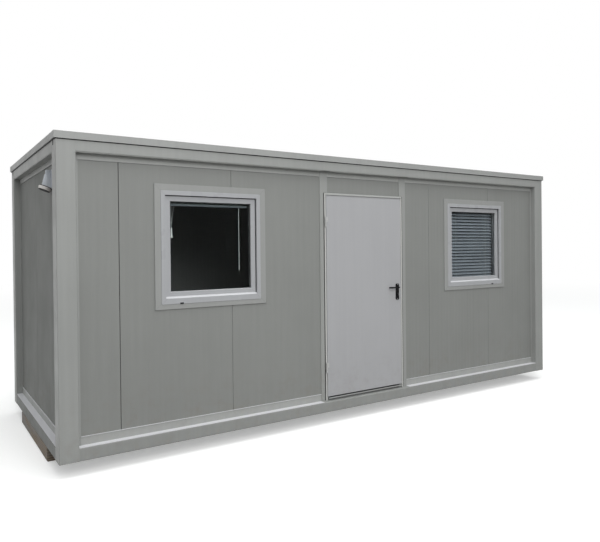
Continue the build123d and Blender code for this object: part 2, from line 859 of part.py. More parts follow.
def slanting_cord():
    """The second cord, which meets the straight one at the joiner."""
    beside = 2 * (cord_radius + fit)
    joint = cord_start(beside) - Vector(0, 0, joiner_drop - joiner_length / 2 - fit)
    return cord(cord_start(cord_spread), joint)


def cord_fittings():
    """The joiner on the straight cord and the bell at its end."""
    top = cord_start(0)
    sleeve = RegularPolygon(joiner_radius, fitting_sides) - Circle(cord_radius)
    start = Pos(top.X, top.Y, top.Z - joiner_drop - joiner_length / 2)
    joiner = extrude(start * sleeve, amount=joiner_length)
    levels = [(bell_neck, 0), (bell_waist, bell_length - bell_rim_height), (bell_rim, bell_length)]
    turns = [2 * pi * (i + 0.5) / fitting_sides for i in range(fitting_sides)]
    neck, waist, rim = [[top + Vector(radius * cos(t), radius * sin(t), -cord_run - drop) for t in turns]
                        for radius, drop in levels]
    bore = Pos(top.X, top.Y, top.Z - cord_run - (cord_grip - overlap) / 2)
    bore *= Cylinder(cord_radius, cord_grip + overlap)
    return [joiner, prismatoid(waist, neck) + prismatoid(rim, waist) - bore]


def inlet_place():
    """Frame at the inlet's mouth, with Z up along the slanted axis of its lid."""
    x = panel_face - hood_offset - frame_length / 2
    return Pos(x, -inlet_run, frame_base + inlet_mouth) * Rot(0, inlet_tilt, 0)


def hood_corners(offset, radius, height):
    """Corners of the hood's level outline: flats round the front and two corners at the wall."""
    wall = panel_face - frame_length / 2
    turns = [pi * (i / hood_flats - 0.5) for i in range(hood_flats + 1)]
    front = [Vector(wall - offset - radius * cos(t), radius * sin(t) - inlet_run, height) for t in turns]
    return front + [Vector(wall, radius - inlet_run, height), Vector(wall, -radius - inlet_run, height)]


def power_inlet():
    """Moulded inlet: a wall plate, a hood that widens downwards and a sleeve at its slanted mouth."""
    mouth = frame_base + inlet_mouth
    low, top = mouth - hood_radius, mouth + hood_height
    hood = prismatoid(hood_corners(hood_offset, hood_radius, low),
                      hood_corners(hood_top_offset, hood_top_radius, top))
    side = 4 * hood_height
    hood -= inlet_place() * Pos(0, 0, hood_rim_gap - side / 2) * Box(side, side, side)
    neck = prismatoid(hood_corners(hood_top_offset, neck_radius, top),
                      hood_corners(hood_top_offset, neck_radius, top + neck_height))
    centre = mouth + inlet_plate_height / 2 - inlet_plate_drop
    outline = Rectangle(inlet_plate_width, inlet_plate_height)
    outline = Pos(inlet_run, centre) * chamfer(outline.vertices(), inlet_plate_edge)
    plate = through("left", outline, panel_face - inlet_plate_thickness, panel_face)
    length = hood_rim_gap + overlap
    sleeve = inlet_place() * Pos(0, 0, length / 2) * Cylinder(sleeve_radius, length)
    return hood + neck + plate + sleeve


def inlet_lid():
    """Thick round lid that closes the sleeve from below."""
    return inlet_place() * Pos(0, 0, -fit - lid_thickness / 2) * Cylinder(lid_radius, lid_thickness)


def save(name, pieces):
    pieces = pieces if isinstance(pieces, list) else [pieces]
    solids = [solid for piece in pieces for solid in piece.solids()]
    export_step(solids[0] if len(solids) == 1 else Compound(children=solids), f"parts/{name}.step")


def main():
    os.makedirs("parts", exist_ok=True)
    save("bearers", bearers())
    for name, post in zip(("front_left", "front_right", "back_left", "back_right"),
                          four_corners(corner_post())):
        save(f"corner_post_{name}", post)
    for place, sides in (("side", ("front", "back")), ("end", ("left", "right"))):
        save(f"bottom_{place}_rails", [rail(side, True) for side in sides])
        save(f"top_{place}_rails", [rail(side, False) for side in sides])
        save(f"{place}_wall_tracks", wall_tracks(sides[0]) + wall_tracks(sides[1]))
    save("roof_flashing", [roof_flashing(side) for side in ("front", "back", "left", "right")])
    save("roof_corner_caps", four_corners(roof_corner_cap()))
    save("roof_cassette", roof_cassette())
    save("roof_sheet", roof_sheet())
    left, lintel, right = front_walls()
    save("front_wall_left", left)
    save("front_wall_over_door", lintel)
    save("front_wall_right", right)
    save("back_wall", back_wall())
    save("left_wall", end_wall("left"))
    save("right_wall", end_wall("right"))
    save("inner_corner_trims", four_corners(corner_trim()))
    save("floor_cassette", floor_cassette())
    save("floor_board", floor_board())
    save("door_posts", [door_post(-1), door_post(1)])
    save("door_frame", door_frame())
    save("threshold", threshold())
    save("door_leaf", door_leaf())
    save("hinges_on_frame", [hinge_on_frame(hinge_upper), hinge_on_frame(hinge_lower)])
    save("hinges_on_leaf", [hinge_on_leaf(hinge_upper), hinge_on_leaf(hinge_lower)])
    save("handle_plates", handle_plates())
    save("lever_handles", lever_handles())
    save("door_lock", [key_cylinder(), faceplate(0)])
    pieces = window_pieces()
    for side, centre, lowered in (("left", window_left_centre, False),
                                  ("right", window_right_centre, True)):
        for name, piece in zip(("trim", "frame", "sash", "glass"), pieces):
            moved = [Pos(centre, 0, 0) * p for p in (piece if isinstance(piece, list) else [piece])]
            save(f"{side}_window_{name}", moved)
        save(f"{side}_window_blind", Pos(centre, 0, 0) * blind(lowered))
    save("blind_pull_cord", pull_cord())
    save("blind_slanting_cord", slanting_cord())
    save("blind_cord_fittings", cord_fittings())
    save("power_inlet", power_inlet())
    save("inlet_lid", inlet_lid())


main()
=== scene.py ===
import math
import bpy
import numpy as np
from mathutils import Matrix, Vector


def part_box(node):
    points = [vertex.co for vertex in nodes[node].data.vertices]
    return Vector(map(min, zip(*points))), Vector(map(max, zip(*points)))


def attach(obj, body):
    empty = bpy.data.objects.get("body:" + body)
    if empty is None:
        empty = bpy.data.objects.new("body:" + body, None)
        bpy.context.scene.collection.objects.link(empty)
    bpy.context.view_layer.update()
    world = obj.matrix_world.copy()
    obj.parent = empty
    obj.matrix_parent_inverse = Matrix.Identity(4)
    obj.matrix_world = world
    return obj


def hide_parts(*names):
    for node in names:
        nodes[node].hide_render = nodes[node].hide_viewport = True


# Shipping container cabin: the looks of its steel frame, wall panels, windows, blinds and door.
# Everything is in metres, in the cabin's own frame: +X along the front, +Y into the cabin, +Z up.

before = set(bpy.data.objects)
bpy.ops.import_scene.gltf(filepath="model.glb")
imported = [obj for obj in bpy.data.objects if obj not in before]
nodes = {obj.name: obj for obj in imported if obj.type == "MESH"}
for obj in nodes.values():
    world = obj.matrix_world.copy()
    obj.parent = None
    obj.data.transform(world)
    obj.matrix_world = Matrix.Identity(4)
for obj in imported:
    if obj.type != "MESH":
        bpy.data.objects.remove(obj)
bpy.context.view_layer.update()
print("frame loaded,", len(nodes), "nodes")


# Camera at the photo's viewing angle
camera = {
    "place": (-3.9443, -6.1726, 1.7856),  # eye height, off the near corner
    "yaw": 0.5977,                        # radians, clockwise from +Y
    "pitch": -0.0072,
    "roll": -0.0099,
    "focalPixels": 598.33,
    "axisPixel": (320.1, 252.0),          # where the lens axis meets the picture
    "picture": (600, 542),
    "sensor": 36.0,                       # millimetres
    "farthest": 500.0,
}


def addObject(name, data):
    added = bpy.data.objects.new(name, data)
    bpy.context.scene.collection.objects.link(added)
    return added


def placeCamera(values):
    yaw, pitch, roll = values["yaw"], values["pitch"], values["roll"]
    forward = Vector((math.sin(yaw) * math.cos(pitch), math.cos(yaw) * math.cos(pitch), math.sin(pitch)))
    level = Vector((math.cos(yaw), -math.sin(yaw), 0))
    rise = level.cross(forward)
    right = math.cos(roll) * level + math.sin(roll) * rise
    up = math.cos(roll) * rise - math.sin(roll) * level
    width, height = values["picture"]
    lens = bpy.data.cameras.new("photo_lens")
    lens.sensor_width = values["sensor"]
    lens.lens = values["focalPixels"] / width * values["sensor"]
    lens.shift_x = (width / 2 - values["axisPixel"][0]) / width
    lens.shift_y = (values["axisPixel"][1] - height / 2) / width
    lens.clip_end = values["farthest"]
    eye = addObject("photo_camera", lens)
    turn = Matrix((right, up, -forward)).transposed().to_4x4()
    eye.matrix_world = Matrix.Translation(values["place"]) @ turn
    bpy.context.scene.camera = eye


placeCamera(camera)
bpy.context.scene.view_settings.view_transform = "Standard"
print("camera placed")


# Node helpers. They take numbers or sockets, build in the tree of those sockets, and most give back
# an output socket.
def feed(socket, value):
    if isinstance(value, bpy.types.NodeSocket):
        socket.id_data.links.new(value, socket)
    else:
        socket.default_value = value


def addNode(tree, kind, sockets=None, **settings):
    node = tree.nodes.new("ShaderNode" + kind)
    for key, value in settings.items():
        setattr(node, key, value)
    for key, value in (sockets or {}).items():
        feed(node.inputs[key], value)
    return node


def maths(operation, *values):
    tree = next(value.id_data for value in values if isinstance(value, bpy.types.NodeSocket))
    return addNode(tree, "Math", dict(enumerate(values)), operation=operation).outputs[0]


def plus(first, second):
    return maths("ADD", first, second)


def minus(first, second):
    return maths("SUBTRACT", first, second)


def times(first, second):
    return maths("MULTIPLY", first, second)


def apart(first, second):
    return maths("ABSOLUTE", minus(first, second))


# A smooth step from one number to another while the value goes from low to high
def between(value, low, high, toLow=0.0, toHigh=1.0):
    sockets = {"Value": value, "From Min": low, "From Max": high, "To Min": toLow, "To Max": toHigh}
    return addNode(value.id_data, "MapRange", sockets, interpolation_type="SMOOTHSTEP").outputs[0]


def noise(coords, scale, stretch=None, detail=3.0, roughness=0.55):
    if stretch:
        coords = addNode(coords.id_data, "Mapping", {"Vector": coords, "Scale": stretch}).outputs[0]
    sockets = {"Vector": coords, "Scale": scale, "Detail": detail, "Roughness": roughness}
    return addNode(coords.id_data, "TexNoise", sockets).outputs[0]


def blend(amount, first, second):
    node = addNode(amount.id_data, "Mix", data_type="RGBA")
    for place, value in zip((0, 6, 7), (amount, first, second)):
        feed(node.inputs[place], value)
    return node.outputs[2]


def mixShaders(amount, first, second):
    return addNode(amount.id_data, "MixShader", {0: amount, 1: first, 2: second}).outputs[0]


def shade(colour, factor=1.0):
    return (*(min(1.0, part * factor) for part in colour), 1.0)


white = shade((1, 1, 1))


# A colour that goes from a little darker to a little paler with the amount
def vary(amount, colour, spread):
    return blend(amount, shade(colour, 1 - spread), shade(colour, 1 + spread))


def split(coords):
    return addNode(coords.id_data, "SeparateXYZ", {0: coords}).outputs


def startMaterial(name):
    material = bpy.data.materials.new(name)
    material.use_nodes = True
    return material, addNode(material.node_tree, "TexCoord").outputs["Object"]


# The bump is a height with its depth and strength. What is the same all over sits on the shader's sockets.
def endMaterial(material, colour, roughness, bump, specular=0.5, metallic=0.0):
    tree = material.node_tree
    normal = addNode(tree, "Bump", dict(zip(("Height", "Distance", "Strength"), bump))).outputs[0]
    sockets = {"Base Color": colour, "Roughness": roughness, "Specular IOR Level": specular,
               "Metallic": metallic, "Normal": normal}
    for key, value in sockets.items():
        feed(tree.nodes["Principled BSDF"].inputs[key], value)
    return material


def endInShader(material, surface):
    tree = material.node_tree
    tree.nodes.remove(tree.nodes["Principled BSDF"])
    feed(tree.nodes["Material Output"].inputs["Surface"], surface)
    return material


# Finishes come as rows of values under the names of their columns. A short row leaves the last one out.
def table(columns, rows):
    return {name: dict(zip(columns.split(), values)) for name, values in rows.items()}


# Paint on folded steel and on plastic profiles
paints = table("colour roughness dust mottle specular", {
    "frame_paint": ((0.286, 0.293, 0.283), 0.42, 0.25, 0.05),
    # Painted shade: the bottom side rails wear the frame paint made a little darker, and the bottom end rails
    # darker still, for the shade low down by the ground
    "rail_paint_and_shade": ((0.262, 0.269, 0.260), 0.42, 0.25, 0.05),
    "end_rail_paint": ((0.205, 0.211, 0.203), 0.42, 0.25, 0.05, 0.03),
    # Painted light: the tracks wear the frame paint made paler, to light the sill tracks and the head track
    # that lies in the top rail's shadow
    "track_paint_and_light": ((0.330, 0.337, 0.326), 0.46, 0.15, 0.05),
    "door_post_paint": ((0.285, 0.292, 0.281), 0.46, 0.45, 0.05),
    "flashing_paint": ((0.305, 0.311, 0.303), 0.44, 0.30, 0.06),
    "door_paint": ((0.372, 0.374, 0.384), 0.38, 0.30, 0.03),
    # Paler than the leaf: the door frame's own cream paint, made paler still as painted light against the
    # shadow of the proud leaf
    "door_frame_paint_and_light": ((0.500, 0.502, 0.484), 0.38, 0.30, 0.03),
    # Painted light: the window plastic made paler for the sill slope, whose top faces the light from above
    "sill_plastic_lit": ((0.500, 0.506, 0.520), 0.30, 0.05, 0.03),
    # The lining's grey, darkened as painted shade of the dim room behind the windows
    "inner_paint_and_shade": ((0.30, 0.30, 0.29), 0.50, 0.05, 0.03),
    "trim_plastic": ((0.283, 0.289, 0.281), 0.45, 0.20, 0.04),
    "window_plastic": ((0.358, 0.364, 0.376), 0.30, 0.20, 0.03),
})
windowCentres = {"left": -1.702, "right": 1.776}
# Paint of each window part whose corners are mitred, its middle height, half width and half height
mitred = {
    "trim": ("trim_plastic", 1.806, 0.5375, 0.5425),
    "frame": ("window_plastic", 1.800, 0.4815, 0.4925),
    "sash": ("window_plastic", 1.806, 0.4515, 0.4565),
}
coat = {
    "patches": 1.3, "runs": 26.0, "speckle": 9.0, "peel": 260.0,    # how many there are per metre
    "dust": (0.20, 0.175, 0.15),
    "dustTop": 0.85,                # height above the ground where splashed dust ends
    "ledge": (0.60, 0.60, 0.62),    # painted highlight on the lit tops of the ledges
    "ledges": {"track_paint_and_light": ((0.2236, 0.2280), (0.2945, 0.3000))},    # foot and top of each
    "mitre": 0.55,                  # how dark the mitre lines are
    "specular": 0.25,
}


# Colour of a painted surface: mottled, with faint vertical runs and dust splashed up from the ground
def paintColour(coords, height, values):
    patches = noise(coords, coat["patches"], detail=4.0)
    runs = noise(coords, coat["runs"], stretch=(1, 1, 0.03), detail=2.0)
    cloud = plus(patches, times(runs, 0.6))
    base = vary(between(cloud, 0.45, 1.15), values["colour"], values["mottle"])
    splash = between(height, coat["dustTop"], 0.05)
    speckle = between(noise(coords, coat["speckle"], detail=6.0, roughness=0.7), 0.42, 0.75)
    dust = times(times(splash, speckle), values["dust"])
    return blend(dust, base, shade(coat["dust"])), dust


# Mitre lines of a frame lie where a point is as far from the frame's side as from its top or foot
def mitreLines(parts, centre, middle, halfWidth, halfHeight):
    across = minus(halfWidth, apart(parts[0], centre))
    upward = minus(halfHeight, apart(parts[2], middle))
    return between(apart(across, upward), 0.0012, 0.0003)


def paintMaterial(name, values, mitre=None):
    material, coords = startMaterial(name)
    parts = split(coords)
    colour, dust = paintColour(coords, parts[2], values)
    if mitre:
        line = times(mitreLines(parts, *mitre), coat["mitre"])
        colour = blend(line, colour, shade(values["colour"], 0.35))
    # Painted highlight: between two heights the tops of the ledges are made pale, where the light from above
    # falls on them
    for low, high in coat["ledges"].get(name, ()):
        onLitLedge = times(maths("GREATER_THAN", parts[2], low), maths("LESS_THAN", parts[2], high))
        colour = blend(onLitLedge, colour, shade(coat["ledge"]))
    gloss = between(noise(coords, 4.0), 0.3, 0.7, values["roughness"] - 0.05, values["roughness"] + 0.07)
    peel = noise(coords, coat["peel"], detail=1.0)
    return endMaterial(material, colour, plus(gloss, times(dust, 0.4)), (peel, 0.0002, 0.5),
                       values.get("specular", coat["specular"]))


# Coated sheet of the wall panels: fine rolled lines, and a pale inner face whose grey is darkened as painted
# shade of the dim room
wallSheet = {
    "colour": (0.226, 0.232, 0.222), "roughness": 0.50, "dust": 0.45, "mottle": 0.045,
    "linePitch": 0.050,
    "lineDepth": 0.0005,
    "sheetDepth": 0.030,    # behind this depth the inner face begins
    "joint": -2.536,        # where the front's open joint lies, dark with sealant and painted shade
    "jointHalf": 0.0024,
    "specular": 0.20,
    "endSpecular": 0.02,
}


# The run is the axis along the wall, 0 or 1, and inwards is the direction of the other one
def wallMaterial(name, box, run, inwards, joint=None):
    values = wallSheet
    material, coords = startMaterial(name)
    parts = split(coords)
    outside, dust = paintColour(coords, parts[2], values)
    # The front's open joint is drawn as a nearly black strip: dark sealant, with painted shade in the gap
    if joint:
        gap = maths("LESS_THAN", apart(parts[run], joint), values["jointHalf"])
        outside = blend(gap, outside, shade(values["colour"], 0.12))
    outerFace = box[0 if inwards > 0 else 1][1 - run]
    isInner = maths("GREATER_THAN", times(minus(parts[1 - run], outerFace), inwards), values["sheetDepth"])
    colour = blend(isInner, outside, shade(paints["inner_paint_and_shade"]["colour"]))
    gloss = between(noise(coords, 3.0), 0.3, 0.7, values["roughness"] - 0.06, values["roughness"] + 0.06)
    wave = maths("COSINE", times(parts[run], math.pi / values["linePitch"]))
    rolled = maths("POWER", maths("ABSOLUTE", wave), 6.0)
    sag = times(noise(coords, 0.9, stretch=(1, 1, 0.35), detail=1.0), 3.0)
    return endMaterial(material, colour, plus(gloss, times(dust, 0.3)),
                       (plus(rolled, sag), values["lineDepth"], 0.6),
                       values["endSpecular" if run else "specular"])


# Plain metals: a spangle of cells, a little dirt and fine grain
metals = table("colour roughness spangle metallic", {
    "galvanised_sheet": ((0.36, 0.375, 0.38), 0.52, 38.0),
    "hinge_metal": ((0.43, 0.435, 0.43), 0.40, 90.0, 0.0),
    "screw_steel": ((0.50, 0.50, 0.49), 0.32, 240.0),
    "spacer_metal": ((0.45, 0.46, 0.47), 0.35, 120.0),
    "threshold_metal": ((0.30, 0.31, 0.31), 0.38, 60.0),
})
metalDirt = (0.22, 0.20, 0.18)


def metalMaterial(name, values):
    material, coords = startMaterial(name)
    tree = material.node_tree
    cells = addNode(tree, "TexVoronoi", {"Vector": coords, "Scale": values["spangle"]}).outputs["Color"]
    tone = addNode(tree, "SeparateColor", {0: cells}).outputs[0]
    dirt = times(between(noise(coords, 2.2, detail=6.0), 0.35, 0.75), 0.3)
    colour = blend(dirt, vary(tone, values["colour"], 0.1), shade(metalDirt))
    roughness = between(tone, 0, 1, values["roughness"] - 0.07, values["roughness"] + 0.1)
    return endMaterial(material, colour, roughness, (noise(coords, 180.0), 0.0002, 0.4),
                       metallic=values.get("metallic", 1.0))


# The key cylinder is black and the lock's faceplate, in the edge of the leaf, is brushed steel
lock = {"black": (0.014, 0.014, 0.015), "steel": (0.50, 0.49, 0.47), "edge": 0.5150, "brush": 900.0}


def lockMaterial(name, values):
    material, coords = startMaterial(name)
    isPlate = maths("GREATER_THAN", split(coords)[0], values["edge"])
    brushed = noise(coords, values["brush"], stretch=(1, 1, 0.02), detail=2.0)
    colour = blend(isPlate, shade(values["black"]), vary(brushed, values["steel"], 0.15))
    roughness = between(brushed, 0.3, 0.7, 0.30, 0.44)
    return endMaterial(material, colour, roughness, (brushed, 0.0001, 0.4), metallic=isPlate)


timber = {
    "early": (0.27, 0.215, 0.16), "late": (0.13, 0.10, 0.075), "grey": (0.22, 0.205, 0.19),
    "ringPitch": 0.011, "pith": (2.989, -0.21),     # how far out and how high the pith lies
}


# Rings round a pith line along Y give long grain on the faces and rings on the sawn ends
def timberMaterial(name, values):
    material, coords = startMaterial(name)
    parts = split(coords)
    wobble = noise(coords, 7.0, stretch=(1, 0.12, 1), detail=4.0)
    offsets = minus(maths("ABSOLUTE", parts[0]), values["pith"][0]), minus(parts[2], values["pith"][1])
    radius = maths("SQRT", plus(*(maths("POWER", offset, 2.0) for offset in offsets)))
    bent = plus(radius, times(wobble, 0.03))
    ring = maths("PINGPONG", maths("DIVIDE", bent, values["ringPitch"]), 1.0)
    grain = blend(ring, shade(values["early"]), shade(values["late"]))
    weather = between(noise(coords, 11.0, stretch=(1, 0.2, 1), detail=6.0), 0.35, 0.65)
    fibre = noise(coords, 60.0, stretch=(1, 0.05, 1), detail=5.0)
    return endMaterial(material, blend(weather, grain, shade(values["grey"])), 0.85,
                       (plus(times(ring, 0.4), fibre), 0.0025, 0.8))


# Plastics and other plain coats: a faint cloud and a fine grain
plastics = table("colour roughness grain specular", {
    "black_nylon": ((0.005, 0.005, 0.006), 0.50, 500.0, 0.08),
    "seal_rubber": ((0.014, 0.014, 0.015), 0.70, 300.0, 0.20),
    "inlet_plastic": ((0.47, 0.50, 0.54), 0.40, 400.0),
    "lid_plastic": ((0.62, 0.595, 0.575), 0.38, 400.0),
    "slat_paint": ((0.325, 0.352, 0.395), 0.35, 60.0),
    # The raised blind's rails: the slats' paint made about half as bright, as painted shade under the window
    # head
    "foot_rail_paint": ((0.17, 0.195, 0.21), 0.40, 60.0),
    "stack_painted_shade": ((0.085, 0.10, 0.08), 0.45, 60.0),   # painted shade over the folded slats
    "cord_white": ((0.86, 0.86, 0.84), 0.80, 900.0),
    "wand_plastic": ((0.90, 0.91, 0.90), 0.22, 300.0),
    "floor_vinyl": ((0.16, 0.165, 0.17), 0.45, 220.0),
    "ceiling_board": ((0.60, 0.60, 0.58), 0.60, 120.0),
})


def plasticMaterial(name, values):
    material, coords = startMaterial(name)
    cloud = between(noise(coords, 6.0, detail=5.0), 0.3, 0.7)
    roughness = between(cloud, 0, 1, values["roughness"] - 0.04, values["roughness"] + 0.06)
    grain = noise(coords, values["grain"], detail=1.0)
    return endMaterial(material, vary(cloud, values["colour"], 0.08), roughness,
                       (grain, 0.00015, 0.5), values.get("specular", 0.5))


glazing = {"ior": 1.08, "tint": (0.955, 0.965, 0.965), "roughness": 0.0, "smear": 0.03}


def glassMaterial(name, values):
    material, coords = startMaterial(name)
    tree = material.node_tree
    dirt = noise(coords, 5.0, stretch=(1, 1, 0.3), detail=6.0)
    smear = between(dirt, 0.45, 0.85, values["roughness"], values["smear"])
    fresnel = addNode(tree, "Fresnel", {"IOR": values["ior"]}).outputs[0]
    clear = addNode(tree, "BsdfTransparent", {"Color": shade(values["tint"])}).outputs[0]
    gloss = addNode(tree, "BsdfAnisotropic", {"Color": white, "Roughness": smear}).outputs[0]
    return endInShader(material, mixShaders(fresnel, clear, gloss))


def dress(names, material):
    for name in names:
        mesh = nodes[name].data
        mesh.materials.clear()
        mesh.materials.append(material)


# All finishes by name, and the CAD nodes that wear them
finishes = {
    "lock_metal": lockMaterial("lock_metal", lock),
    "weathered_timber": timberMaterial("weathered_timber", timber),
    "clear_glass": glassMaterial("clear_glass", glazing),
}
for make, rows in ((paintMaterial, paints), (metalMaterial, metals), (plasticMaterial, plastics)):
    finishes.update({name: make(name, values) for name, values in rows.items()})
worn = {
    "frame_paint": "corner_post_front_left corner_post_front_right corner_post_back_left "
                   "corner_post_back_right top_side_rails top_end_rails",
    "rail_paint_and_shade": "bottom_side_rails",
    "end_rail_paint": "bottom_end_rails",
    "track_paint_and_light": "side_wall_tracks end_wall_tracks",
    "door_post_paint": "door_posts",
    "flashing_paint": "roof_flashing roof_corner_caps",
    "door_paint": "door_leaf",
    "door_frame_paint_and_light": "door_frame",
    "inner_paint_and_shade": "inner_corner_trims",
    "galvanised_sheet": "roof_sheet floor_cassette",
    "ceiling_board": "roof_cassette",
    "floor_vinyl": "floor_board",
    "weathered_timber": "bearers",
    "hinge_metal": "hinges_on_frame hinges_on_leaf",
    "lock_metal": "door_lock",
    "threshold_metal": "threshold",
    "black_nylon": "handle_plates lever_handles",
    "inlet_plastic": "power_inlet",
    "lid_plastic": "inlet_lid",
    "clear_glass": "left_window_glass right_window_glass",
    "slat_paint": "left_window_blind right_window_blind",
    "cord_white": "blind_pull_cord blind_slanting_cord blind_cord_fittings",
}
for name, wearers in worn.items():
    dress(wearers.split(), finishes[name])
for side, centre in windowCentres.items():
    for part, (paint, *measures) in mitred.items():
        name = f"{side}_{part}_plastic"
        finishes[name] = paintMaterial(name, paints[paint], (centre, *measures))
        dress([f"{side}_window_{part}"], finishes[name])
for name, run, inwards, panels, joint in (
        ("front_sheet", 0, 1, "front_wall_left front_wall_right front_wall_over_door", wallSheet["joint"]),
        ("back_sheet", 0, -1, "back_wall", None),
        ("left_sheet", 1, 1, "left_wall", None),
        ("right_sheet", 1, -1, "right_wall", None)):
    panels = panels.split()
    dress(panels, wallMaterial(name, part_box(panels[0]), run, inwards, joint))
print("materials made")


# Mesh helpers. A shape is an array of points with an array of four-cornered faces.
def gridFaces(rows, columns, ring):
    i = np.arange(rows if ring else rows - 1)[:, None]
    near, far = i * columns, (i + 1) % rows * columns
    j = np.arange(columns)[None]
    side = (j + 1) % columns
    return np.stack(np.broadcast_arrays(near + j, far + j, far + side, near + side), -1).reshape(-1, 4)


def endFaces(columns, first):
    k = np.arange(columns // 2 - 1)
    return first + np.stack([k, k + 1, columns - 2 - k, columns - 1 - k], -1)


# Rows of closed outlines become one skin: a ring that meets itself, or a body with two flat ends
def shell(points, ring=False):
    rows, columns = points.shape[:2]
    faces = [gridFaces(rows, columns, ring)]
    if not ring:
        faces += [endFaces(columns, 0), endFaces(columns, (rows - 1) * columns)[:, ::-1]]
    return points.reshape(-1, 3), np.concatenate(faces)


# Flat outlines at their depths, set in space by a centre and three axes
def layered(flats, depths, centre, axes, ring=False):
    flats = np.asarray(flats, float)
    rows, columns = flats.shape[:2]
    depth = np.broadcast_to(np.asarray(depths, float).reshape(rows, -1)[:, :, None], (rows, columns, 1))
    return shell(np.concatenate([flats, depth], -1) @ np.array(axes, float) + np.array(centre, float), ring)


# An outline carried through the depth: each row moves it along its own outward direction by the
# profile's first number, and sets it at the depth of the second
def carry(outline, outward, profile, centre, axes, ring=False):
    profile = np.asarray(profile, float)
    flats = np.asarray(outline, float) + profile[:, None, :1] * np.asarray(outward, float)
    return layered(flats, profile[:, 1], centre, axes, ring)


def aroundCircle(steps):
    angle = (np.arange(steps) + 0.5) * 2 * math.pi / steps
    return np.stack([np.cos(angle), np.sin(angle)], -1)


def quarter(steps):
    return np.linspace(0, math.pi / 2, steps)


# A turned body has no outline of its own, only directions round a circle: the profile holds its radii
def turned(profile, centre, axes, steps):
    return carry(np.zeros((steps, 2)), aroundCircle(steps), profile, centre, axes)


# A profile whose heights are counted from a base, and downwards where the sign is negative
def raised(profile, base, sign=1):
    return [(radius, base + sign * rise) for radius, rise in profile]


# A flat section carried straight on from one place to another
def straight(section, start, end, centre, axes):
    return carry(section, np.zeros_like(section), [(0, start), (0, end)], centre, axes)


# A rectangle with round corners: quarter circles about four centres, outward along each radius
def roundedOutline(halfWidth, halfHeight, radius, steps=8):
    angle = np.arange(4)[:, None] * math.pi / 2 + quarter(steps)
    outward = np.stack([np.cos(angle), np.sin(angle)], -1)
    corner = np.array([[1, 1], [-1, 1], [-1, -1], [1, -1]]) * [halfWidth - radius, halfHeight - radius]
    return (corner[:, None] + radius * outward).reshape(-1, 2), outward.reshape(-1, 2)


# A rectangle with mitred corners, whose outward directions run along the mitres
def mitredOutline(halfWidth, halfHeight):
    signs = np.array([[1.0, 1], [-1, 1], [-1, -1], [1, -1]])
    return signs * [halfWidth, halfHeight], signs


# A plate with round corners. Its size is its half width, half height, corner radius and, if there
# aren't 8, the points round a corner. Its reach is the depths of its back and its face, and the
# radius of the quarter circle in which its sides end.
def plate(size, reach, centre, axes):
    back, face, edge = reach
    turn = quarter(5)
    sign = math.copysign(1, face - back)
    easing = np.stack([-edge * (1 - np.cos(turn)), face - sign * edge * (1 - np.sin(turn))], -1)
    return carry(*roundedOutline(*size), [(0, back), *easing], centre, axes)


def copies(shape, offsets):
    points, faces = shape
    offsets = np.asarray(offsets, float)
    shift = np.arange(len(offsets))[:, None, None] * len(points)
    return (points + offsets[:, None]).reshape(-1, 3), (faces + shift).reshape(-1, 4)


# Faces are turned round where the volume they enclose comes out negative
def outwards(shape):
    points, faces = shape
    a, b, c, d = (points[faces[:, k]] - points.mean(0) for k in range(4))
    volume = (np.cross(a, b) * c).sum() + (np.cross(a, c) * d).sum()
    return points, faces if volume > 0 else faces[:, ::-1]


# Edges that turn by more than this stay sharp
sharpEdge = math.radians(35)


def addPiece(name, shapes, finish, body="cabin", slot=None, replaces=None):
    shapes = [outwards(shape) for shape in shapes]
    starts = np.cumsum([0] + [len(shape[0]) for shape in shapes[:-1]])
    points = np.concatenate([shape[0] for shape in shapes])
    faces = np.concatenate([shape[1] + start for shape, start in zip(shapes, starts)])
    mesh = bpy.data.meshes.new(name)
    mesh.from_pydata(points.tolist(), [], faces.tolist())
    mesh.shade_smooth()
    mesh.set_sharp_from_angle(angle=sharpEdge)
    mesh.materials.append(finishes[finish])
    piece = addObject(name, mesh)
    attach(piece, body)
    if replaces:
        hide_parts(replaces)
    return piece


# Axes for drawing: sections as (depth, height) along the front, elevations of the front, and plans
alongFront = ((0, 1, 0), (0, 0, 1), (1, 0, 0))
facing = ((1, 0, 0), (0, 0, 1), (0, 1, 0))
rising = ((1, 0, 0), (0, 1, 0), (0, 0, 1))
front = -1.219  # the outer face of the frame, from which depths into the cabin are measured


# A section carried along the front, as far to the left of a centre as to its right
def frontBar(section, half, centre):
    return straight(section, -half, half, (centre, front, 0), alongFront)


# Windows: black seals, a spacer between the panes, caps over the drain slots and painted shade in the slots.
# Here and below, a plate is given by its size and its reach.
windowParts = {
    "middle": 1.806,                       # height of the windows' middle
    "reveal": (0.4435, 0.4485),            # half width and half height of the frame's opening
    "glass": (0.3925, 0.3975),             # the same for the sash's opening
    "sashFace": 0.0725, "paneFace": 0.0945, "paneBack": 0.1187,
    # The sash bead is a black seal drawn wide enough to cover the shadow gap beside it: a real seal, with
    # painted shade
    "sashBead": (0.0065, 0.0050), "glassBead": (0.0040, 0.0035),   # width and depth of each bead
    "spacer": (0.0035, 0.0988, 0.1144),    # width, front and back
    "capFace": 0.0503, "capHeight": 1.320, "capShift": {"left": -0.302, "right": 0.302},
    "cap": ((0.0175, 0.0030, 0.0035), (0.001, -0.0028, 0.0012)),
    "slot": ((0.0160, 0.0070, 0.0012), (-0.002, -0.0030, 0.0001)), "slotDrop": 0.0075,
    "sill": (0.0515, 0.0722, 0.016),       # front, back and rise of the slope along the frame's foot
    "glazing": (0.0740, 0.0942, 0.007),    # the same for the bead that holds the outer pane
    "lip": 0.0004, "sunk": 0.0003,         # how far a slope's front edge stands up and its foot sinks in
}


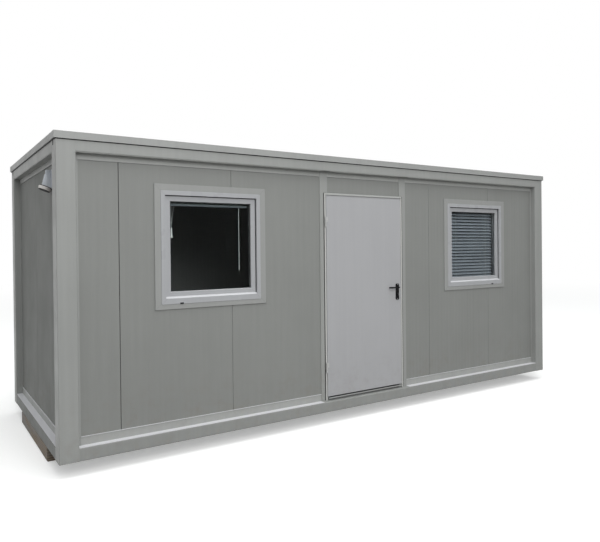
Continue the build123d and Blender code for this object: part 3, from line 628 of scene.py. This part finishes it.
# A wedge along the foot of an opening, whose top rises inwards to shed rain
def slope(half, values, centre):
    near, far, rise = values
    low = windowParts["middle"] - half[1]
    lip, foot = low + windowParts["lip"], low - windowParts["sunk"]
    return frontBar([(near, lip), (near, foot), (far, foot), (far, low + rise)], half[0], centre)


# A section of (outward, depth) points carried round an opening
def aroundOpening(half, section, centre):
    place = (centre, front, windowParts["middle"])
    return carry(*mitredOutline(*half), section, place, facing, ring=True)


# A quarter ellipse that fills the corner between an opening and the face behind it
def cornerBead(half, face, bead, sign, centre):
    turn = quarter(6)
    arc = np.stack([-bead[0] * np.sin(turn), face - sign * bead[1] * np.cos(turn)], -1)
    return aroundOpening(half, [(0, face), *arc], centre)


def makeWindow(side, centre):
    values = windowParts
    glass, bead, slot = values["glass"], values["glassBead"], "window_plastic"
    beads = [cornerBead(values["reveal"], values["sashFace"], values["sashBead"], 1, centre),
             cornerBead(glass, values["paneFace"], bead, 1, centre),
             cornerBead(glass, values["paneBack"], bead, -1, centre)]
    addPiece(side + "_window_seals", beads, "seal_rubber")
    width, near, far = values["spacer"]
    spacer = aroundOpening(glass, [(0, near), (-width, near), (-width, far), (0, far)], centre)
    addPiece(side + "_window_spacer", [spacer], "spacer_metal")
    # The sill slope wears a paler copy of the window plastic: painted light on its top
    sill = slope(values["reveal"], values["sill"], centre)
    addPiece(side + "_sill_slope", [sill], "sill_plastic_lit", slot=slot)
    glazingBead = slope(glass, values["glazing"], centre)
    addPiece(side + "_glazing_slope", [glazingBead], side + "_sash_plastic", slot=slot)
    place = np.array([centre + values["capShift"][side], front + values["capFace"], values["capHeight"]])
    cap = plate(*values["cap"], place, facing)
    addPiece(side + "_drain_cap", [cap], side + "_frame_plastic", slot=slot)
    # A dark plate in the drain slot below the cap: painted shade in the slot
    drain = plate(*values["slot"], place - [0, 0, values["slotDrop"]], facing)
    addPiece(side + "_drain_slot_shade", [drain], "seal_rubber")


for side, centre in windowCentres.items():
    makeWindow(side, centre)
print("window details made")


# Blinds: crowned slats on ladder cords between a head rail and a foot rail
blindParts = {
    "half": 0.3855, "depth": 0.1449, "headLow": 2.2335, "headHeight": 0.040, "headDepth": 0.028,
    "slatWidth": 0.044, "crown": 0.0036, "gauge": 0.0007, "pitch": 0.038, "slats": 22,
    "tilt": 0.72, "unrest": (0.030, 5.3),   # radians: the tilt wanders this far, on a sine of this step
    "footHeight": 0.014, "footDepth": 0.022,
    "stackWidth": 0.025, "stackPitch": 0.0024, "stacked": 18, "stackFoot": 0.020, "stackDrop": 0.004,
    "railEdge": 0.003, "railInset": 0.003,
    "railCap": ((-0.002, 0.006), (0.0004, 0.0058), (0.0004, 0.001), (-0.001, 0)),
    "ladderInset": 0.120, "ladderRadius": 0.0007, "ladderGap": 0.0012, "ladderLap": 0.0008,
    "ladderEnds": (0.001, 0.006),           # how far they reach into the head rail and the foot rail
    "wandInset": 0.075, "wandDepth": 0.1614, "wand": (2.2535, 1.5785),
    "wandTop": ((0.002, 0), (0.00272, -0.002), (0.00272, -0.02)),
    "wandFoot": ((0.00272, 0.090), (0.0034, 0.080), (0.0034, 0.006), (0.00238, 0.001), (0.001, 0)),
}


# Section of a slat: a parabola across its width, thickened by the gauge and turned about its middle
def slatSection(width, tilt, depth, height):
    across = np.linspace(-1, 1, 9)
    top = blindParts["crown"] * (1 - across ** 2)
    outline = np.concatenate([np.stack([across * width / 2, top], -1),
                              np.stack([across * width / 2, top - blindParts["gauge"]], -1)[::-1]])
    turn = np.array([[math.cos(tilt), math.sin(tilt)], [-math.sin(tilt), math.cos(tilt)]])
    return outline @ turn + [depth, height]


def slatBars(centre, width, tilts, depth, heights):
    return [frontBar(slatSection(width, tilt, depth, height), blindParts["half"], centre)
            for tilt, height in zip(tilts, heights)]


# A rail with round edges and two end caps, whose profile is how far they stand out from the rail at
# each distance from its end
def blindRail(centre, depth, low, width, height):
    values = blindParts
    outline, outward = roundedOutline(width / 2, height / 2, values["railEdge"], 5)
    outline = outline + [depth, low + height / 2]
    reach = values["half"]
    profiles = [[(out, hand * (reach - inset)) for out, inset in values["railCap"]] for hand in (-1, 1)]
    caps = [carry(outline, outward, profile, (centre, front, 0), alongFront) for profile in profiles]
    return [frontBar(outline, reach - values["railInset"], centre)] + caps


# Strings in front of the slats and behind them, from inside the head rail to inside the foot rail
def ladders(centre, depths, top, foot):
    values = blindParts
    intoHead, intoFoot = values["ladderEnds"]
    string = [(values["ladderRadius"], level) for level in (top + intoHead, foot + intoFoot)]
    spread = values["half"] - values["ladderInset"]
    return [turned(string, (centre + hand * spread, front + depth, 0), rising, 8)
            for hand in (-1, 1) for depth in depths]


def makeLoweredBlind():
    values = blindParts
    top, depth, centre = values["headLow"], values["depth"], windowCentres["right"]
    number = np.arange(values["slats"])
    heights = top - (number + 0.5) * values["pitch"]
    unrest, step = values["unrest"]
    tilts = values["tilt"] + unrest * np.sin(step * number)
    slats = slatBars(centre, values["slatWidth"], tilts, depth, heights)
    foot = heights[-1] - values["pitch"] - values["footHeight"] / 2
    rails = blindRail(centre, depth, top, values["headDepth"], values["headHeight"])
    rails += blindRail(centre, depth, foot, values["footDepth"], values["footHeight"])
    addPiece("right_blind_slats", slats + rails, "slat_paint", slot="blind_slats",
             replaces="right_window_blind")
    reach = values["slatWidth"] / 2 * math.cos(values["tilt"]) + values["ladderGap"]
    strings = ladders(centre, (depth - reach, depth + reach), top, foot)
    addPiece("right_blind_ladders", strings, "cord_white", slot="blind_cord")


def makeRaisedBlind():
    values = blindParts
    top, depth, centre = values["headLow"], values["depth"], windowCentres["left"]
    near, width = depth - values["headDepth"] / 2, values["stackWidth"]
    heights = top - (np.arange(values["stacked"]) + 1) * values["stackPitch"]
    slats = slatBars(centre, width, np.zeros(len(heights)), near + width / 2, heights - values["stackDrop"])
    foot = heights[-1] - values["stackPitch"] - values["stackFoot"]
    rails = blindRail(centre, depth, top, values["headDepth"], values["headHeight"])
    rails += blindRail(centre, near + width / 2, foot, width, values["stackFoot"])
    replaced = {"slot": "blind_slats", "replaces": "left_window_blind"}
    # The folded slats wear a dark green grey in place of the slats' paint: painted shade under the window
    # head
    addPiece("left_blind_stack", slats, "stack_painted_shade", **replaced)
    # The raised blind's rails wear a darker copy of the slats' paint: painted shade under the window head
    addPiece("left_blind_rails", rails, "foot_rail_paint", **replaced)
    lap = values["ladderLap"]
    strings = ladders(centre, (near + lap, near + width - lap), top, foot)
    addPiece("left_blind_ladders", strings, "cord_white", slot="blind_cord")
    high, low = values["wand"]
    profile = raised(values["wandTop"], high) + raised(values["wandFoot"], low)
    place = (centre + values["half"] - values["wandInset"], front + values["wandDepth"], 0)
    addPiece("left_blind_wand", [turned(profile, place, rising, 12)], "wand_plastic")


makeLoweredBlind()
makeRaisedBlind()


# Pull cords of the raised blind: a straight one that ends in a bell, and one that slants to the joiner
pullCords = {
    "top": (-2.0525, -1.0587, 2.2435), "bellTop": 1.9755, "end": 1.9355, "diameter": 0.0022,
    "slantTop": (-2.0145, -1.0587, 2.2435), "slantEnd": (-2.0497, -1.0587, 2.0238),
    "joiner": 2.0175, "joinerHalf": ((0.0013, 0.006), (0.0032, 0.0056), (0.0040, 0.003)),
    "bellEnd": 1.8855, "ribs": 11,
    "side": (0.0056, 0.0040, 0.0005),   # radius under the top, how much it widens, depth of the ribs
    "sideEnds": (0.002, 0.012),         # from the bell's top and from its end
    "rim": ((0.0135, 0.0110), (0.0142, 0.0100), (0.0142, 0.0012), (0.0134, 0), (0.0110, 0.0004),
            (0.0020, 0.0040)),
}


def addCord(name, start, end, node):
    start, end = np.array(start), np.array(end)
    length = float(np.linalg.norm(end - start))
    lead = 6 * pullCords["diameter"] / length
    curve = bpy.data.curves.new(name, "CURVE")
    curve.dimensions = "3D"
    curve.bevel_depth = pullCords["diameter"] / 2
    curve.bevel_resolution = 3
    curve.use_fill_caps = True
    spline = curve.splines.new("NURBS")
    route = start + np.array([0, lead, 1 - lead, 1])[:, None] * (end - start)
    spline.points.add(len(route) - 1)
    spline.points.foreach_set("co", np.concatenate([route, np.ones((len(route), 1))], 1).ravel())
    spline.order_u = 3
    spline.use_endpoint_u = True
    curve.materials.append(finishes["cord_white"])
    piece = addObject(name, curve)
    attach(piece, "cabin")
    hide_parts(node)


# The joiner is a small barrel. The bell widens evenly, with ribs that follow a sine down its side.
def makePullCords():
    values = pullCords
    x, y, _ = values["top"]
    middle, high, low = values["joiner"], values["bellTop"], values["bellEnd"]
    half = values["joinerHalf"]
    joiner = raised(half, middle) + raised(half[::-1], middle, -1)
    share = np.linspace(0, 1, 56)
    radius, widening, depth = values["side"]
    ribbed = radius + widening * share + depth * np.sin(share * values["ribs"] * 2 * math.pi)
    start, end = high - values["sideEnds"][0], low + values["sideEnds"][1]
    side = np.stack([ribbed, start + share * (end - start)], -1).tolist()
    bell = [(0.0020, high)] + side + raised(values["rim"], low)
    fittings = [addPiece(name, [turned(outline, (x, y, 0), rising, steps)], "cord_white",
                         slot="cord_fittings", replaces="blind_cord_fittings")
                for name, outline, steps in (("cord_joiner", joiner, 24), ("cord_bell", bell, 48))]
    addCord("pull_cord", values["top"], (x, y, values["end"]), "blind_pull_cord")
    addCord("slanting_cord", values["slantTop"], values["slantEnd"], "blind_slanting_cord")


makePullCords()
print("blinds and pull cords made")


# Door: smooth levers on their plates, a seal in the rebate, a latch, a bolt and a strike plate
doorParts = {
    "centre": 0.045, "handle": (0.491, 1.340),
    "sides": ((0.050, -1), (0.104, 1)),     # depth of each face of the leaf, and which way it looks
    "plate": (0.023, 0.089, 0.012, 9), "plateDrop": 0.049, "plateDepth": 0.008, "plateEdge": 0.0025,
    "bore": 0.0093, "boreEdge": (1.06, 0.0005),     # how far round the bore its edge starts, and its depth
    "spindle": ((0.004, 0.004, 0.0004, 3), (0.049, 0.105, 0.0003)),
    "lever": (0.0086, 0.0074), "reach": 0.048, "length": 0.120, "bend": 0.018, "gap": 0.010,
    "tip": (0.004, 0.25),                   # length of the round tip, and how small its end is
    "collar": ((0.0070, 0), (0.0122, 0), (0.0126, 0.0006), (0.0126, 0.0040), (0.0118, 0.0052),
               (0.0070, 0.0056)),
    "collarGap": 0.0004, "screwSpread": 0.077,
    "screw": ((0.0036, -0.001), (0.0036, 0.0003), (0.00252, 0.0008), (0.0016, 0.0009), (0.0012, 0.0002)),
    "cylinder": 1.270, "keywayShade": ((0.0011, 0.0042, 0.0010, 4), (0.023, 0.0242, 0.0001)),
    "seal": 0.0022, "sealHalf": 0.4935, "sealTop": 2.3110, "sealLow": 0.262, "sealDepth": 0.0667,
    "edge": 0.524, "edgeDepth": 0.084,      # of the leaf, where the latch comes out
    "latch": ((0.0055, 0.014, 0.0010, 3), (-0.002, 0.0027, 0.0010)), "latchRise": 0.012,
    "bolt": ((0.0045, 0.017, 0.0010, 3), (-0.002, 0.0008, 0.0004)), "boltDrop": 0.010,
    "strike": 0.529, "strikeMiddle": 1.305,
    "strikePlate": ((0.0115, 0.090, 0.0040, 5), (0.001, -0.0012, 0.0005)),
    "pockets": ((0.0065, 0.017, 0.0012, 3, 0.047), (0.0065, 0.020, 0.0012, 3, -0.045)),  # size, shift
    "pocketReach": (-0.0005, -0.0014, 0.0001),
    "dripHalf": 0.5080, "drip": ((0.0522, 2.3432), (0.0440, 2.3290), (0.0440, 2.3230), (0.0522, 2.3230)),
    "sealant": (0.5260, 0.0060, 0.0564, 0.0575), "sealantHeight": (0.2300, 2.3440),
}


# Corners of a level path are rounded by quarter circles: the line runs straight between them
def leverPath(x, start, out, tip, end, bend):
    turn = quarter(9)
    sign = math.copysign(1, out - start)
    first = np.stack([x - bend * (1 - np.cos(turn)), out - sign * bend * (1 - np.sin(turn))], -1)
    second = np.stack([tip + bend * (1 - np.sin(turn)), out - sign * bend * (1 - np.cos(turn))], -1)
    return np.concatenate([[[x, start], [x, (start + out) / 2]], first, [[(x + tip) / 2, out]], second,
                           [[tip, end]]])


# An oval section carried along the path, upright across its tangent, drawn in to a round tip
def leverShape(depth, sign):
    values = doorParts
    x, z = values["handle"]
    face = front + depth
    path = leverPath(x, face, face + sign * values["reach"], x - values["length"],
                     face + sign * values["gap"], values["bend"])
    run = np.gradient(path, axis=0)
    run /= np.linalg.norm(run, axis=1)[:, None]
    side = np.stack([-run[:, 1], run[:, 0]], -1)
    wide, deep = values["lever"]
    ease = quarter(5)[1:]
    length, least = values["tip"]
    tipRun = path[-1] + run[-1] * length * (np.sin(ease)[:, None] - 1)
    path = np.concatenate([path[:-1], tipRun])
    side = np.concatenate([side[:-1], np.repeat(side[-1:], len(ease), 0)])
    shrink = np.concatenate([np.ones(len(path) - len(ease)), np.maximum(np.cos(ease), least)])[:, None, None]
    oval = aroundCircle(20) * [deep, wide]
    flat = side[:, None] * oval[None, :, :1] * shrink
    rise = np.broadcast_to(oval[None, :, 1:], (*flat.shape[:2], 1)) * shrink
    return shell(np.concatenate([path[:, None] + flat, z + rise], -1))


# The plate's front face runs from its rounded rim straight in to the bore, along rays from the bore
def handlePlate(face, sign):
    values = doorParts
    outline, outward = roundedOutline(*values["plate"])
    outline = outline - [0, values["plateDrop"]]
    bore = outline / np.linalg.norm(outline, axis=1)[:, None] * values["bore"]
    flush, edge = face + sign * values["plateDepth"], values["plateEdge"]
    turn = quarter(5)
    rim = outline - outward * edge * (1 - np.cos(turn))[:, None, None]
    widened, sunk = values["boreEdge"]
    rows = [outline, *rim, bore * widened, bore, bore]
    depths = [face, *(flush - sign * edge * (1 - np.sin(turn))), flush, flush - sign * sunk, face]
    x, z = values["handle"]
    return layered(rows, depths, (x, front, z), facing, ring=True)


def makeHandles():
    values = doorParts
    x, z = values["handle"]
    slotSize, (back, out, edge) = values["keywayShade"]
    levers = [leverShape(face, sign) for face, sign in values["sides"]]
    plates, screws, slots = [], [], []
    for face, sign in values["sides"]:
        flush = face + sign * values["plateDepth"]
        collar = raised(values["collar"], flush + sign * values["collarGap"], sign)
        levers.append(turned(collar, (x, front, z), facing, 40))
        plates.append(handlePlate(face, sign))
        head = raised(values["screw"], flush, sign)
        screw = turned(head, (x, front, z - values["plateDrop"]), facing, 18)
        screws.append(copies(screw, [(0, 0, hand * values["screwSpread"]) for hand in (1, -1)]))
        reach = (face + sign * back, face + sign * out, edge)
        # A dark plate at the key cylinder: painted shade in the keyway
        slots.append(plate(slotSize, reach, (x, front, values["cylinder"]), facing))
    levers.append(plate(*values["spindle"], (x, front, z), facing))
    addPiece("lever_pair", levers, "black_nylon", "lever", "black_nylon", "lever_handles")
    addPiece("lever_plates", plates, "black_nylon", "door", "black_nylon", "handle_plates")
    addPiece("plate_screws", screws, "screw_steel", "door")
    addPiece("keyway_shades", slots, "seal_rubber", "door")


# A round cord up one side of the rebate, across its head and down the other side
def makeDoorSeal():
    values = doorParts
    half, low, top = values["sealHalf"], values["sealLow"], values["sealTop"]
    path = np.array([(-half, low), (-half, top), (half, top), (half, low)])
    outward = np.array([(-1, 0), (-1, 1), (1, 1), (1, 0)])
    turn = np.arange(12)[:, None] * math.pi / 6
    flats = path[:, None] + values["seal"] * np.cos(turn) * outward[:, None]
    depths = np.broadcast_to(values["sealDepth"] + values["seal"] * np.sin(turn[:, 0]), flats.shape[:2])
    seal = layered(flats, depths, (values["centre"], front, 0), facing)
    addPiece("door_seal", [seal], "seal_rubber")


# A sloped strip that sheds rain over the head of the door, and a dark line on each side: sealant in the
# frame's joint, with painted shade of the gap
def makeDripStrip():
    values = doorParts
    strip = frontBar(values["drip"], values["dripHalf"], values["centre"])
    addPiece("door_drip_strip", [strip], "track_paint_and_light", slot="door_paint")
    edge, width, near, far = values["sealant"]
    outline = np.array([(edge, near), (edge + width, near), (edge + width, far), (edge, far)])
    lines = [straight(outline * [hand, 1], *values["sealantHeight"], (values["centre"], front, 0), rising)
             for hand in (-1, 1)]
    addPiece("door_sealant_shade", lines, "seal_rubber")


def makeLatch():
    values = doorParts
    edge, depth = values["edge"], front + values["edgeDepth"]
    latchHeight = values["handle"][1] + values["latchRise"]
    boltHeight = values["cylinder"] - values["boltDrop"]
    latch = plate(*values["latch"], (edge, depth, latchHeight), alongFront)
    bolt = plate(*values["bolt"], (edge, depth, boltHeight), alongFront)
    addPiece("latch_and_bolt", [latch, bolt], "screw_steel", "door")
    place = np.array([values["strike"], depth, values["strikeMiddle"]])
    addPiece("strike_plate", [plate(*values["strikePlate"], place, alongFront)], "screw_steel")
    # Dark plates sunk in the strike plate: painted shade in its pockets
    pockets = [plate(size, values["pocketReach"], place + [0, 0, shift], alongFront)
               for *size, shift in values["pockets"]]
    addPiece("strike_pocket_shades", pockets, "seal_rubber")


makeHandles()
makeDoorSeal()
makeDripStrip()
makeLatch()
print("door details made")


# Power inlet on the left end: a smooth hood with its neck and wall plate, and a lid closed by a seal that
# fills the gap as painted shade, with a dark disc under the lid as painted shade of its underside
inletParts = {
    "place": (-2.9657, -0.697, 2.318),      # on the wall, at the height of the mouth
    "tilt": math.radians(22), "rimGap": 0.007,
    "low": (0.047, 0.041, -0.041),          # offset from the wall, radius and height over the mouth
    "high": (0.034, 0.020, 0.112),
    "hoodEdge": 0.004, "drawnIn": ((1, 0.96, 1), (0.97, 0.93, 1)),  # how much the mouth and the top are
    "neck": (0.034, 0.013), "neckRows": ((1, 0.111), (1, 0.1445), (0.94, 0.146)),   # scales and heights
    "sleeve": ((0.031, -0.0001), (0.031, 0.011)),
    # The seal is widened to fill the whole gap between hood and lid: a real seal, with painted shade
    "seal": ((0.030, 0.0002), (0.0455, 0.0002), (0.0465, 0.0030), (0.0455, 0.0062), (0.030, 0.0064)),
    "plate": ((0.052, 0.080, 0.010), (0, 0.006, 0.002)), "plateRise": 0.068,
    # Radii and heights of the lid: from the mouth, and from the lid's own foot
    "lidTop": ((0.004, -0.0003), (0.047, -0.0003), (0.049, -0.0020), (0.049, -0.0080),
               (0.0478, -0.0095), (0.0478, -0.0110), (0.049, -0.0125)),
    "lidFoot": ((0.049, 0.0035), (0.0475, 0.0010), (0.0440, -0.0002), (0.0400, 0), (0.0385, 0.0020),
                (0.004, 0.0024)),
    # A dark disc on the lid's foot: painted shade of the lid's underside
    "lidUndersideShade": ((0.004, 0.001), (0.047, 0.001), (0.047, -0.0020), (0.045, -0.0032), (0.004, -0.0032)),
    "lidDepth": 0.028, "tab": ((0.0045, 0.011, 0.002, 4), (-0.016, -0.0045, 0.0012)), "tabShift": 0.0475,
    "screw": ((0.0038, -0.001), (0.0038, 0.0004), (0.0028, 0.0013), (0.0014, 0.0015), (0.0010, 0.0008)),
    "screws": (0.042, 0.070),
}


# Level outline of the hood: a half round front with straight sides that reach the wall
def hoodOutline(offset, radius, height):
    turn = np.linspace(math.pi / 2, 3 * math.pi / 2, 24)
    arc = np.stack([-offset + radius * np.cos(turn), radius * np.sin(turn)], -1)
    flat = np.concatenate([[[0, radius]], arc, [[0, -radius]]])
    return np.concatenate([flat, np.full((len(flat), 1), height)], 1)


# Each side line of the hood runs from the low outline to the high one, and starts where it meets the
# slanted plane of the mouth
def makeInlet():
    values = inletParts
    tilt = values["tilt"]
    origin = np.array(values["place"])
    normal = np.array([math.sin(tilt), 0, math.cos(tilt)])
    slanted = np.array([(math.cos(tilt), 0, -math.sin(tilt)), (0, 1, 0), normal])
    offset = np.array([values["low"][0], 0, 0])
    mouth = origin - offset
    low, high = hoodOutline(*values["low"]), hoodOutline(*values["high"])
    share = ((normal * values["rimGap"] - offset - low) @ normal / ((high - low) @ normal))[:, None]
    rim = low + share * (high - low)
    edge = np.array([0, 0, values["hoodEdge"]])
    atMouth, atTop = values["drawnIn"]
    rows = np.stack([rim * atMouth, rim, rim + edge, high - edge, high * atTop])
    neckRows = [hoodOutline(*(size * scale for size in values["neck"]), level)
                for scale, level in values["neckRows"]]
    facingLeft = ((0, 1, 0), (0, 0, 1), (-1, 0, 0))
    middle = origin + [0, 0, values["plateRise"]]
    back = plate(*values["plate"], middle, facingLeft)
    sleeve = turned(values["sleeve"], mouth, slanted, 40)
    housing = [shell(rows + origin), shell(np.stack(neckRows) + origin), back, sleeve]
    addPiece("inlet_housing", housing, "inlet_plastic", slot="inlet_plastic", replaces="power_inlet")
    foot = -values["lidDepth"]
    lid = turned([*values["lidTop"], *raised(values["lidFoot"], foot)], mouth, slanted, 56)
    tab = plate(*values["tab"], mouth - slanted[0] * values["tabShift"], slanted)
    addPiece("inlet_cover", [lid, tab], "lid_plastic", slot="inlet_plastic", replaces="inlet_lid")
    profiles = values["seal"], raised(values["lidUndersideShade"], foot)
    seals = [turned(profile, mouth, slanted, 40) for profile in profiles]
    addPiece("inlet_seal_and_shade", seals, "seal_rubber")
    plateFace = values["plate"][1][1]
    screw = turned(raised(values["screw"], plateFace), middle, facingLeft, 18)
    wide, tall = values["screws"]
    addPiece("inlet_screws", [copies(screw, [(0, y, z) for y in (-wide, wide) for z in (-tall, tall)])],
             "screw_steel")


makeInlet()
print("inlet made")


# Frame details: weld beads beside the posts, rivets along the roof flashing with a dark strip under it as
# painted shadow, and dark plates as painted shade in the slots of the posts' end faces
frameParts = {
    "half": (3.029, 1.219), "post": 0.150, "bead": (0.0030, 0.0006), "ripple": 0.0052,
    "seam": 0.0024, "levels": ((0.123, 0.221), (2.563, 2.650)),
    "rivet": ((0.0048, 0), (0.0048, 0.0003), (0.00384, 0.0008), (0.00216, 0.0011), (0.0006, 0.0012)),
    "rivetHeight": 2.668, "rivetPitch": 0.48, "flashing": 0.012,
    "lastRivet": (5.5, 2),                 # how many pitches from the middle of a side and of an end
    "seal": (0.0035, 2.6475, 2.6550),      # how far the strip under the flashing stands out, its foot and top
    "plug": ((0.014, 0.0195, 0.004, 5), (-0.0005, 0.0012, 0.0010)), "plugPlace": (1.129, 2.6290),
}


# A half ellipse carried up the joint, whose width and height ripple like the beads of a hand made weld
def weldBead(low, high, centre, axes):
    values = frameParts
    level = np.linspace(low, high, int((high - low) / values["ripple"] * 6))
    swell = 0.8 + 0.2 * np.abs(np.sin(math.pi * (level - low) / values["ripple"]))
    turn = np.linspace(0, math.pi, 7)
    wide, tall = values["bead"]
    arc = np.stack([wide * np.cos(turn), -tall * np.sin(turn)], -1)
    section = np.concatenate([arc, np.stack([arc[::-1, 0], np.full(7, 0.0004)], -1)])
    return layered(section[None] * swell[:, None, None], level, centre, axes)


# The long sides and the ends are treated alike: each has its own run, its way out and its half sizes
def makeFrameDetails():
    values = frameParts
    x, y, z = np.eye(3)
    length, width = values["half"]
    longOnes, ends = (x, y, length, width), (y, x, width, length)
    beads, rivets, plugs = [], [], []
    for low, high in values["levels"]:
        for hand in (-1, 1):
            for face in (-1, 1):
                for run, out, reach, off in (longOnes, ends):
                    place = run * hand * (reach - values["post"] + values["seam"]) + out * face * off
                    beads.append(weldBead(low, high, place, (run, -face * out, z)))
    addPiece("weld_beads", beads, "frame_paint", slot="frame_paint")
    for face in (-1, 1):
        for (run, out, _, off), last in zip((longOnes, ends), values["lastRivet"]):
            place = out * face * (off + values["flashing"]) + z * values["rivetHeight"]
            spread = np.arange(-last, last + 0.5)[:, None] * values["rivetPitch"] * run
            rivets.append(copies(turned(values["rivet"], place, (run, z, face * out), 16), spread))
    addPiece("flashing_rivets", rivets, "flashing_paint", slot="frame_paint")
    # A dark strip under the flashing's hem: painted shadow of the flashing's overhang
    proud, low, high = values["seal"]
    section = [(-0.0005, low), (proud, low), (proud, high), (-0.0005, high)]
    strip = carry(*mitredOutline(length, width), section, (0, 0, 0), rising, ring=True)
    addPiece("flashing_shadow_strip", [strip], "seal_rubber")
    # Dark plates over the slots in the posts' end faces: painted shade of the slots
    across, height = values["plugPlace"]
    for face in (-1, 1):
        for hand in (-1, 1):
            place = (face * length, hand * across, height)
            plugs.append(plate(*values["plug"], place, (y, z, face * x)))
    addPiece("post_plugs", plugs, "seal_rubber")


makeFrameDetails()
print("frame details made")


# Stage: a pale floor that fades to white away from the cabin, and a soft sky
stage = {
    "size": 160.0, "near": 6.0, "far": 26.0, "colour": (0.80, 0.80, 0.79), "lift": 0.30,
    "bounce": (0.20, 0.195, 0.19),  # what the floor gives back to the object
    "horizon": 0.52, "zenith": 0.85, "ambientColour": (0.97, 0.99, 1.0),
}


# Rays that see the background itself: the camera's, and those by gloss and through glass
def seenRays(tree):
    path = addNode(tree, "LightPath").outputs
    either = maths("MAXIMUM", path["Is Camera Ray"], path["Is Glossy Ray"])
    return maths("MAXIMUM", either, path["Is Transmission Ray"])


def makeFloor(values):
    x, y = np.meshgrid(*[np.array([-0.5, 0.5]) * values["size"]] * 2)
    points = np.stack([x, y, np.zeros_like(x)], -1).reshape(-1, 3)
    mesh = bpy.data.meshes.new("stage_floor")
    mesh.from_pydata(points.tolist(), [], [(0, 1, 3, 2)])
    floor = addObject("stage_floor", mesh)
    material, coords = startMaterial("pale_floor")
    tree = material.node_tree
    reach = addNode(tree, "VectorMath", {0: coords}, operation="LENGTH").outputs["Value"]
    pale = addNode(tree, "BsdfDiffuse", {"Color": shade(values["colour"])}).outputs[0]
    lift = addNode(tree, "Emission", {"Color": white, "Strength": values["lift"]}).outputs[0]
    far = addNode(tree, "Emission", {"Color": white, "Strength": 1.0}).outputs[0]
    near = addNode(tree, "AddShader", {0: pale, 1: lift}).outputs[0]
    seen = mixShaders(between(reach, values["near"], values["far"]), near, far)
    bounce = addNode(tree, "BsdfDiffuse", {"Color": shade(values["bounce"])}).outputs[0]
    mesh.materials.append(endInShader(material, mixShaders(seenRays(tree), bounce, seen)))


def makeSky(values):
    world = bpy.data.worlds.new("soft_sky")
    world.use_nodes = True
    bpy.context.scene.world = world
    sky = world.node_tree
    plain = sky.nodes["Background"]
    feed(plain.inputs["Color"], shade(values["ambientColour"]))
    height = split(addNode(sky, "TexCoord").outputs["Generated"])[2]
    feed(plain.inputs["Strength"], between(height, 0.0, 0.9, values["horizon"], values["zenith"]))
    seen = addNode(sky, "Background", {"Color": white, "Strength": 1.0}).outputs[0]
    feed(sky.nodes["World Output"].inputs["Surface"], mixShaders(seenRays(sky), plain.outputs[0], seen))


lamps = {
    "key": {"place": (-2.8, -9.0, 5.6), "aim": (-1.2, -1.2, 1.6), "size": 5.0, "power": 400.0},
    "fill": {"place": (-12.0, 1.0, 5.0), "aim": (-3.0, 0.0, 1.2), "size": 6.0, "power": 25.0},
    "overhead": {"place": (0.0, -2.6, 9.5), "aim": (0.0, -2.0, 0.0), "size": 9.0, "power": 560.0},
}


def addLamp(name, values):
    data = bpy.data.lights.new(name, "AREA")
    data.shape = "DISK"
    data.size = values["size"]
    data.energy = values["power"]
    lamp = addObject(name, data)
    aim = Vector(values["aim"]) - Vector(values["place"])
    turn = aim.to_track_quat("-Z", "Y").to_matrix().to_4x4()
    lamp.matrix_world = Matrix.Translation(values["place"]) @ turn


makeFloor(stage)
makeSky(stage)
for name, values in lamps.items():
    addLamp(name + "_lamp", values)
print("stage and lamps made")
